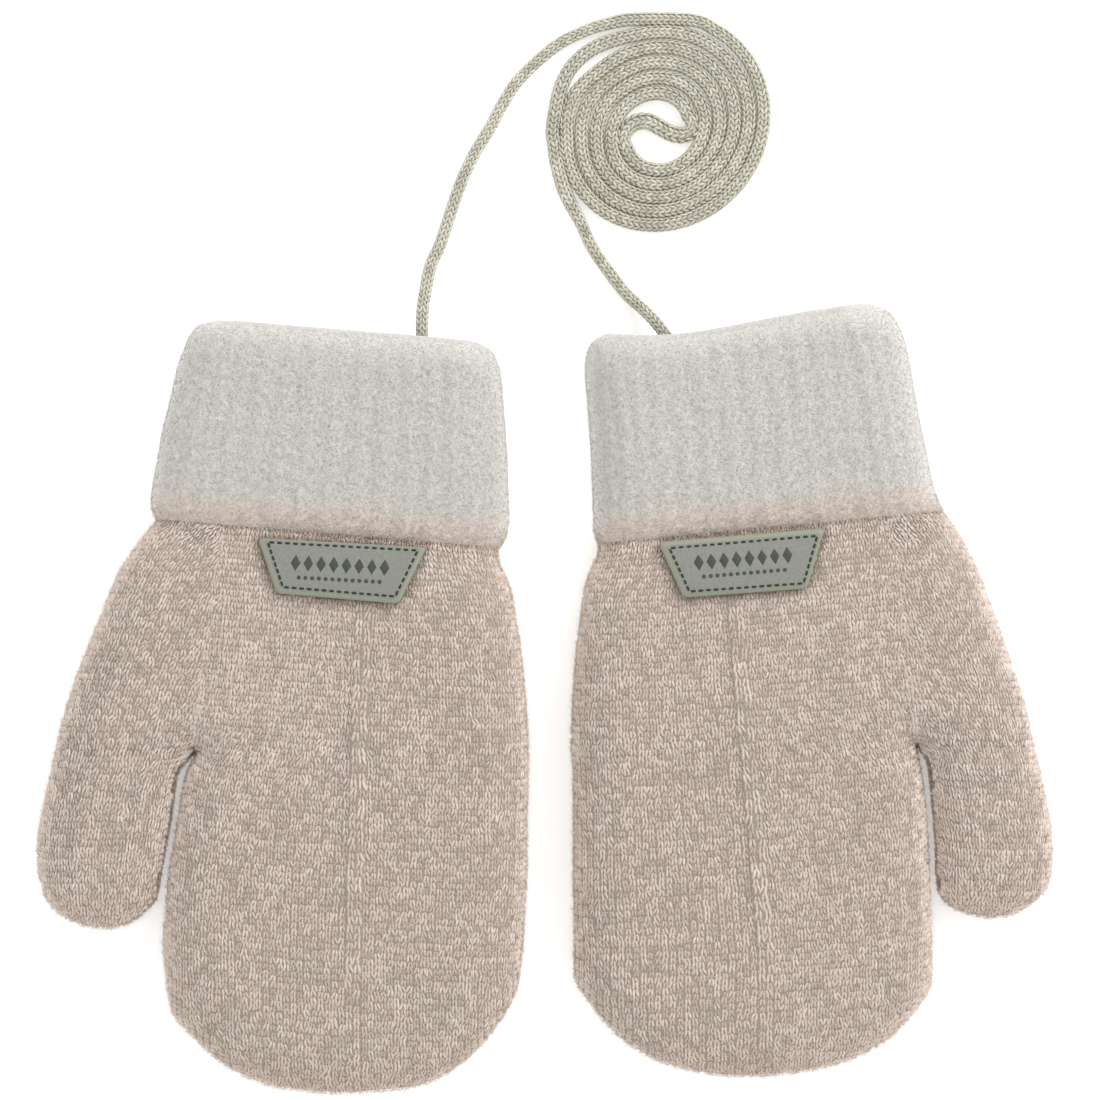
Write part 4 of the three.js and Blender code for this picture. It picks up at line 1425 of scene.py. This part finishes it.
def cuff_piece(mitten):
    """The cuff's shell with its nap and its beige lower edge."""
    rings, rows = cuff_shell(mitten)
    count, around = rings.shape[:2]
    points = rings.reshape(-1, 3)
    lumps = np.array([noise.fractal(Vector(p) * 0.35, 1.0, 2.0, 3) for p in points])
    outside = np.repeat(rows[:, 5] < 0.6, around)
    points[:, 2] += NAP_DEPTH * lumps * (points[:, 2] > 6) * outside
    seam = np.linalg.norm(rings - rings[0], axis=2).ravel()
    beige = np.where(outside, 1 - smoothstep(seam, 2.0, 8.0), 0)
    nap = nap_values(points) * outside
    faces = quads(count, around, True)
    last = (count - 1) * around
    faces += [
        (last + k, last + (k + 1) % around, (k + 1) % around, k) for k in range(around)
    ]
    # Painted highlight: the cuff painted paler over its top, at its thin rim and a little by its seam
    from_top = np.repeat(rows[:, 1].max() - rows[:, 1], around)
    crown = CROWN_PALENESS * (1 - smoothstep(from_top, 0.5, 7.5))
    by_seam = 0.45 * (1 - smoothstep(seam, 1.0, 4.0))
    rim = np.maximum(np.maximum(rim_values(points, CUFF_RIM), crown), by_seam) * outside
    values = {"nap": nap, "beige": beige, "rim": rim}
    cuff = mesh_piece(mitten["name"] + "_plush_cuff", points, faces, [PLUSH], values)
    crowded = 1 + SEAM_DOWN * (1 - smoothstep(seam, 0.4, 1.6))
    values["nap"] = nap * crowded * (1 - smoothstep(seam, 2.2, 4.6))
    # Painted light: the down by the seam painted paler, lifting the seam's shade
    values["rim"] = np.maximum(rim, SEAM_PALENESS * (1 - smoothstep(seam, 0.5, 4.0)))
    near_seam = mesh_piece(mitten["name"] + "_seam_down", points, faces, [YARN], values)
    values["nap"] = outside * smoothstep(points[:, 2], 2.0, 4.0) * (1 - smoothstep(points[:, 2], 7.0, 10.0))
    values["rim"] = rim
    edge = mesh_piece(mitten["name"] + "_cuff_edge_nap", points, faces, [PLUSH], values)
    for piece in (cuff, near_seam, edge):
        face_out(piece)
    return cuff, near_seam, edge


# The labels


def inset_corners(corners, insets):
    """The corners of a convex outline with each side moved in by its own distance."""
    following = np.roll(corners, -1, axis=0)
    along = unit(following - corners)
    inward = np.column_stack([-along[:, 1], along[:, 0]])
    towards = ((corners.mean(axis=0) - corners) * inward).sum(axis=1, keepdims=True)
    starts = corners + inward * np.sign(towards) * np.reshape(insets, (-1, 1))
    moved = []
    for i in range(len(corners)):
        pair = np.column_stack([along[i - 1], -along[i]])
        steps = np.linalg.solve(pair, starts[i] - starts[i - 1])
        moved.append(starts[i - 1] + along[i - 1] * steps[0])
    return np.array(moved)


def rounded_outline(corners, radius, arc_steps=5, side_steps=14):
    """Points round an outline with rounded corners, always as many for every size."""
    line = []
    for i, corner in enumerate(corners):
        before = unit(corners[i - 1] - corner)
        after = unit(corners[(i + 1) % len(corners)] - corner)
        for t in np.linspace(0, 1, arc_steps):
            line.append(corner + before * radius * (1 - t) ** 2 + after * radius * t ** 2)
        following = corners[(i + 1) % len(corners)]
        start, end = corner + after * radius, following - after * radius
        for t in np.arange(1, side_steps) / side_steps:
            line.append(start + (end - start) * t)
    return np.array(line)


# How far the stitching lies from a label's top side, inner side, bottom side and outer side
LABEL_MARGIN = {
    "left": np.array((0.75, 1.25, 1.35, 1.6)),
    "right": np.array((1.4, 1.5, 1.1, 1.0)),
}
BEVEL_TO_STITCHING = 0.6


def label_corners(mitten):
    (a, b, c, d), (e, f, g, h) = mitten["label"]
    return np.array([(a, b), (c, d), (g, h), (e, f)])


def on_label(cloth, places, lift):
    """Points over the cloth at a height above it, and the way the cloth faces there."""
    def level(spots):
        return cloth.level(spots, cloth.palm_height(spots))[0]

    z = level(places)
    slope = [(level(places + step) - z) / LABEL_PROBE for step in np.eye(2) * LABEL_PROBE]
    facing = unit(np.column_stack([-slope[0], -slope[1], np.ones(len(z))]))
    return np.column_stack([places, z + lift]), facing


def label_piece(mitten, cloth):
    """The label: a pressed plate with a rounded edge."""
    corners = label_corners(mitten)
    top = SEAM_GAP + LABEL_THICKNESS
    bevel = LABEL_MARGIN[mitten["name"]] - BEVEL_TO_STITCHING
    profile = [
        (0.0, 4.0, SEAM_GAP),
        (0.0, 2.0, SEAM_GAP),
        (0.0, 0.0, SEAM_GAP + 0.1),
        (0.0, 0.0, top - 0.7),
        (0.3, 0.0, top - 0.45),
        (0.85, 0.0, top - 0.1),
        (1.0, 0.15, top),
        (1.0, 1.2, top + 0.02),
        (1.0, 2.6, top + 0.03),
        (1.0, 4.0, top + 0.04),
    ]
    rings = []
    for share, inset, lift in profile:
        shape = inset_corners(corners, share * bevel + inset)
        line = rounded_outline(shape, max(1.0 - 0.4 * inset, 0.3))
        rings.append(on_label(cloth, line, lift)[0])
    rings = np.array(rings)
    count, around = rings.shape[:2]
    faces = quads(count, around, True)
    faces += [tuple(range(around)), tuple((count - 1) * around + k for k in range(around))]
    edge = np.repeat([inset < 0.1 for _, inset, _ in profile], around).astype(float)
    piece = mesh_piece(
        mitten["name"] + "_leatherette_label", rings.reshape(-1, 3), faces, [LEATHERETTE], {"edge": edge}
    )
    face_out(piece)
    return piece


def thread_dash():
    """One visible stitch of sewing thread, of unit length along Y."""
    rings = [(0, -0.5, 0, 0, 0), (0, -0.38, 0, 0.42, 0.5), (0, 0, 0.1, 0.5, 0.6), (0, 0.38, 0, 0.42, 0.5), (0, 0.5, 0, 0, 0)]
    return shape_object("dash_shape", *spindle(rings, 6))


def plate(outline):
    """A thin bevelled plate of unit size from an outline."""
    count = len(outline)
    points = [(x, y, 0.0) for x, y in outline] + [(0.88 * x, 0.88 * y, 1.0) for x, y in outline]
    faces = quads(2, count, True)
    faces += [tuple(range(count)), tuple(range(count, 2 * count))]
    return points, faces


DASH = thread_dash()
LOZENGE = shape_object("lozenge_shape", *plate([(0.5, 0), (0, 0.5), (-0.5, 0), (0, -0.5)]))
DOT = shape_object(
    "dot_shape",
    *plate([(0.5 * math.cos(a), 0.5 * math.sin(a)) for a in np.arange(10) * math.pi / 5]),
)


def set_on_label(name, cloth, places, along, lift, shape, size, material, seed):
    """A row of like shapes set on a label."""
    points, facing = on_label(cloth, places, lift)
    flat = np.column_stack([along, np.zeros(len(along))])
    attributes = {"facing": facing, "along": flat, "crowding": np.ones(len(points))}
    piece = mesh_piece(name, points, [], [material], attributes)
    return run_tree(piece, STITCHES, {
        "Shape": shape,
        "Width": size[0] * MM,
        "Length": size[1] * MM,
        "Thickness": size[2] * MM,
        "Unevenness": 0.03,
        "Seed": seed,
        "Material": material,
    })


def label_dashes(mitten, cloth):
    """The line of stitches that sews the label on."""
    corners = inset_corners(label_corners(mitten), LABEL_MARGIN[mitten["name"]])
    places, along = [], []
    for i, count in enumerate((19, 7, 15, 7)):
        start, end = corners[i], corners[(i + 1) % 4]
        for k in range(count):
            places.append(start + (end - start) * (k + 0.5) / count)
            along.append(unit(end - start))
    return set_on_label(
        mitten["name"] + "_label_stitching", cloth, np.array(places), np.array(along),
        SEAM_GAP + LABEL_THICKNESS - 0.1, DASH, (0.56, 1.15, 0.4), THREAD, 5,
    )


def label_marks(mitten, cloth):
    """A plain pressed ornament: a row of lozenges over a row of dots."""
    corners = label_corners(mitten)
    across = unit(corners[1] - corners[0]) * (1 if corners[1, 0] > corners[0, 0] else -1)
    up = np.array((-across[1], across[0]))
    centre = corners.mean(axis=0)
    pieces = []
    for name, count, pitch, rise, shape, size in (
        ("lozenges", 8, 2.45, 1.0, LOZENGE, (1.9, 3.1, 0.08)),
        ("dots", 13, 1.3, -1.75, DOT, (0.8, 0.8, 0.08)),
    ):
        steps = (np.arange(count) - (count - 1) / 2) * pitch
        places = centre + up * rise + across * steps[:, None]
        along = np.tile(up, (count, 1))
        pieces.append(set_on_label(
            f"{mitten['name']}_label_{name}", cloth, places, along,
            SEAM_GAP + LABEL_THICKNESS + 0.02, shape, size, PRESSED_INK, 3,
        ))
    return pieces


# The cord


def coil_strand(start, turn, loose, step=math.radians(12)):
    """One strand of the flat coil, from its outside inwards, with its loose stretches."""
    angles = np.arange(start, COIL_END + step / 2, step)
    radius = COIL_RADIUS - COIL_PITCH * angles / (2 * math.pi)
    for begin, end, away in loose:
        share = np.clip((np.degrees(angles) - begin) / (end - begin), 0, 1)
        radius += away * np.sin(math.pi * share) ** 2
    polar = angles + turn
    ring = np.column_stack([np.sin(polar), np.cos(polar)]) * radius[:, None]
    centre = COIL_CENTRE + COIL_DRIFT * (angles / COIL_END)[:, None]
    return np.column_stack([centre + ring @ COIL_FORM, np.full(len(angles), LYING)])


def cord_path():
    """The cord's line from inside the left cuff through the coil to inside the right cuff."""
    first = coil_strand(math.radians(15), 0, LOOSE_FIRST)
    second = coil_strand(math.pi / 2, math.pi, LOOSE_SECOND)[::-1]
    knots = np.vstack([LEFT_LEAD, first, EYE_BEND, second, RIGHT_LEAD[::-1]])
    fine = smoothed(knots, 12)
    run = np.concatenate([[0], np.cumsum(np.linalg.norm(np.diff(fine, axis=0), axis=1))])
    return fine, run


def cord_frames(fine, run, step):
    """Even points along the cord with their direction, side and upward directions."""
    wanted = np.arange(0, run[-1], step)
    points = np.column_stack([np.interp(wanted, run, fine[:, i]) for i in range(3)])
    ahead = unit(np.gradient(points, axis=0))
    side = unit(np.cross(ahead, [0, 0, 1]))
    return points, ahead, side, np.cross(side, ahead)


def from_eye(points):
    """Distance of points from the middle of the coil."""
    return np.linalg.norm(points[:, :2] - COIL_CENTRE - COIL_DRIFT / 2, axis=1)


def pressed_breadth(points):
    """How much broader the soft cord lies where its turns press on each other, and in the eye."""
    distance = from_eye(points)
    return 1 + COIL_SWELL * (1 - smoothstep(distance, 21.5, 24.0)) + EYE_SWELL * (
        1 - smoothstep(distance, 4.0, 8.0)
    )


def between_turns(points, out, side):
    """Painted shade between the coil's turns: how deep between two turns a side of the cord faces, as a
    darkening of its colour.
    """
    sideways = np.abs((out * side).sum(axis=1))
    inside = 1 - smoothstep(from_eye(points), 20.5, 23.0)
    return TURN_SHADE * smoothstep(sideways, 0.45, 0.95) * inside


def cord_core(fine, run):
    """The cord's own body, a smooth tube under its stitches."""
    points, _, side, up = cord_frames(fine, run, 1.0)
    broad = side * pressed_breadth(points)[:, None]
    sides = 10
    rings, painted_shades = [], []
    for k in range(sides):
        angle = 2 * math.pi * k / sides
        out = side * math.cos(angle) + up * math.sin(angle)
        ring = points + (broad * math.cos(angle) + up * math.sin(angle)) * CORD_CORE / 2
        rings.append(ring)
        painted_shades.append(between_turns(ring, out, side))
    rings = np.array(rings).transpose(1, 0, 2)
    fold = np.array(painted_shades).T.ravel()
    count = len(points)
    faces = quads(count, sides, True)
    faces += [tuple(range(sides)), tuple((count - 1) * sides + k for k in range(sides))]
    values = {"tone": np.full(count * sides, 0.1), "fold": fold}
    piece = mesh_piece("neck_cord", rings.reshape(-1, 3), faces, [CORD_YARN], values)
    face_out(piece)
    return piece, points


def cord_stitches(fine, run):
    """The knitted skin of the cord, in wales that run its whole length."""
    points, ahead, side, up = cord_frames(fine, run, CORD_COURSE)
    breadth = pressed_breadth(points)
    spots, facing, painted_shades = [], [], []
    for wale in range(CORD_WALES):
        angle = 2 * math.pi * (wale + 0.25) / CORD_WALES
        out = side * math.cos(angle) + up * math.sin(angle)
        away = side * breadth[:, None] * math.cos(angle) + up * math.sin(angle)
        spots.append(points + away * (CORD_CORE / 2 + 0.05))
        facing.append(out)
        painted_shades.append(between_turns(spots[-1], out, side))
    spots, facing = np.vstack(spots), np.vstack(facing)
    along = np.tile(ahead, (CORD_WALES, 1))
    attributes = {
        "facing": facing,
        "along": along,
        "crowding": np.tile(breadth, CORD_WALES),
        "fold": np.concatenate(painted_shades),
    }
    piece = mesh_piece("neck_cord_stitches", spots, [], [CORD_YARN], attributes)
    return run_tree(piece, STITCHES, {
        "Shape": CHAIN_STITCH,
        "Width": CORD_WALE * MM,
        "Length": CORD_COURSE * MM,
        "Thickness": 0.42 * MM,
        "Unevenness": 0.06,
        "Seed": 9,
        "Material": CORD_YARN,
    })


# Camera, light and surface


def camera():
    """Straight over the middle of the frame, from well above."""
    height, frame_width, sensor = 0.7, 0.2145, 0.036
    data = bpy.data.cameras.new("camera")
    data.sensor_width = sensor * 1000
    data.lens = sensor * 1000 * height / frame_width
    eye = bpy.data.objects.new("camera", data)
    eye.location = (0.975 * MM, 28.86 * MM, height + EDGE_HEIGHT * MM)
    bpy.context.scene.collection.objects.link(eye)
    bpy.context.scene.camera = eye


def area_light(name, place, size, power):
    """A soft lamp that looks at the middle of the object."""
    data = bpy.data.lights.new(name, "AREA")
    data.shape = "DISK"
    data.size = size
    data.energy = power
    lamp = bpy.data.objects.new(name, data)
    lamp.location = place
    lamp.rotation_euler = (Vector((0, 0.02, 0)) - lamp.location).to_track_quat("-Z", "Y").to_euler()
    bpy.context.scene.collection.objects.link(lamp)


def studio():
    """A pale floor, an even white sky, and a soft lamp from the upper right."""
    half, under = 3000, -0.05
    floor = mesh_piece(
        "pale_floor",
        [(-half, -half, under), (half, -half, under), (half, half, under), (-half, half, under)],
        [(0, 1, 2, 3)],
        [light_table()],
    )
    floor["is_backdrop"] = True
    world = bpy.data.worlds.new("white_sky")
    bpy.context.scene.world = world
    world.use_nodes = True
    world.node_tree.nodes["Background"].inputs["Color"].default_value = (1, 1, 1, 1)
    world.node_tree.nodes["Background"].inputs["Strength"].default_value = 0.96
    area_light("upper_right_lamp", (0.6, 0.7, 0.6), 0.5, 5.0)
    bpy.context.scene.view_settings.view_transform = "Standard"


def declare(piece, nodes=()):
    """Ties a finished piece to the body, and hides the nodes that it stands for."""
    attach(piece, "root")
    if nodes:
        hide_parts(*nodes)


def flat_cut(shell, points, around, along):
    """The size of the cut that a tube's outer face is made of."""
    return (around * MM, along * MM)


camera()
studio()

cord_line, cord_run = cord_path()
print("cord length mm", round(float(cord_run[-1]), 1))
neck_cord, cord_points = cord_core(cord_line, cord_run)
neck_cord_stitches = cord_stitches(cord_line, cord_run)
for piece in (neck_cord, neck_cord_stitches):
    declare(piece)
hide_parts("cord_coil", "cord_eye_bend", "cord_lead_left", "cord_lead_right")


def divided(points, kept):
    """The stitches that are kept, and the others."""
    return tuple(v[kept] for v in points), tuple(v[~kept] for v in points)


def joined(*parts):
    return tuple(np.vstack(values) for values in zip(*parts))


def mitten_pieces(mitten, seed):
    """Every piece of one mitten."""
    name = mitten["name"]
    cloth = Cloth(mitten)
    crotch_x, crotch_y = cloth.hand[cloth.crotch, :2]

    grid = run_to_tip(cloth.hand, hand_wales(cloth), mitten["tip"])
    plain = np.delete(grid, [OUTER_WALES, OUTER_WALES + 1], axis=1)
    ridge = grid[:, OUTER_WALES:OUTER_WALES + 2]
    hand_points = knit_points(cloth, cloth.hand, plain)
    _, ridge_top, _, ridge_end = mitten["ridge"]
    ridge_points = knit_points(cloth, cloth.hand, ridge, RIDGE_COURSE)
    level = ridge_points[0][:, 1]
    ridge_points = divided(ridge_points, (level < ridge_top) & (level > ridge_end))[0]
    ridge_ends = knit_points(cloth, cloth.hand, ridge)
    level = ridge_ends[0][:, 1]
    ridge_ends = divided(ridge_ends, (level > ridge_top) | (level < ridge_end))[0]
    hand_points = joined(hand_points, ridge_ends)
    grid = run_to_tip(cloth.thumb, thumb_wales(cloth), mitten["thumb_tip"])
    thumb_points = knit_points(cloth, cloth.thumb, grid)
    rim = rim_points(cloth)

    palm_hand, fingers = divided(hand_points, hand_points[0][:, 1] > crotch_y)
    palm_thumb, thumb = divided(thumb_points, thumb_points[0][:, 1] > crotch_y)
    below = cloth.hand[cloth.crotch:]
    slit_x = np.interp(-rim[0][:, 1], -below[:, 1], below[:, 0])
    beyond = (slit_x - rim[0][:, 0]) * cloth.side > 0.2
    thumb_rim, hand_rim = divided(rim, beyond & (rim[0][:, 1] < crotch_y))

    hand_cloth = knit_shell(name + "_hand_cloth", cloth, *hand_surface(cloth, STITCH_DEPTH))
    thumb_cloth = knit_shell(name + "_thumb_cloth", cloth, *thumb_surface(cloth, STITCH_DEPTH))
    hand_trim = [
        stitched(name + "_palm_stitches", cloth, joined(palm_hand, palm_thumb), seed),
        stitched(name + "_finger_stitches", cloth, fingers, seed + 1),
        stitched(
            name + "_ridge_stitches", cloth, ridge_points, seed + 2, RIDGE_WALE, RIDGE_COURSE, 0.66
        ),
        stitched(name + "_hand_rim_stitches", cloth, hand_rim, seed + 3),
        knit_down(name + "_hand_down", cloth, *hand_surface(cloth, 0.1), seed + 4),
        edge_down(name + "_hand_edge_down", cloth, *hand_surface(cloth, 0.3), seed + 4),
    ]
    thumb_trim = [
        stitched(name + "_thumb_stitches", cloth, thumb, seed + 5),
        stitched(name + "_thumb_rim_stitches", cloth, thumb_rim, seed + 6),
        knit_down(name + "_thumb_down", cloth, *thumb_surface(cloth, 0.1), seed + 7),
        edge_down(name + "_thumb_edge_down", cloth, *thumb_surface(cloth, 0.3), seed + 7),
    ]
    for piece in hand_trim + thumb_trim:
        declare(piece)
    declare(hand_cloth, [name + "_hand"])
    declare(thumb_cloth, [name + "_thumb"])

    cuff, near_seam, cuff_edge = cuff_piece(mitten)
    nap_base = cuff.copy()
    nap_base.data = cuff.data.copy()
    bpy.context.scene.collection.objects.link(nap_base)
    cuff_nap = grown(name + "_cuff_nap", nap_base, 7.0, 0.65, 0.04, (0.8, 1.5), seed + 8, PLUSH)
    seam_down = grown(name + "_seam_down", near_seam, 5.0, 1.2, 0.045, (0.5, 1.5), seed + 9, YARN)
    declare(cuff, [name + "_cuff"])
    edge_nap = grown(name + "_cuff_edge_nap", cuff_edge, 2.2, 1.0, 0.03, (0.2, 1.3), seed + 6, PLUSH)
    declare(cuff_nap)
    declare(edge_nap)
    declare(seam_down)

    label = label_piece(mitten, cloth)
    declare(label, [name + "_label"])
    for trim in (label_dashes(mitten, cloth), *label_marks(mitten, cloth)):
        declare(trim)


mitten_pieces(LEFT, 10)
mitten_pieces(RIGHT, 30)

for shape in (STITCH, CHAIN_STITCH, FIBRE, DASH, LOZENGE, DOT):
    bpy.data.objects.remove(shape)

total = 0
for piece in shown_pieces():
    piece.data.calc_loop_triangles()
    total += len(piece.data.loop_triangles)
    print(piece.name, len(piece.data.loop_triangles))
print("triangles", total)
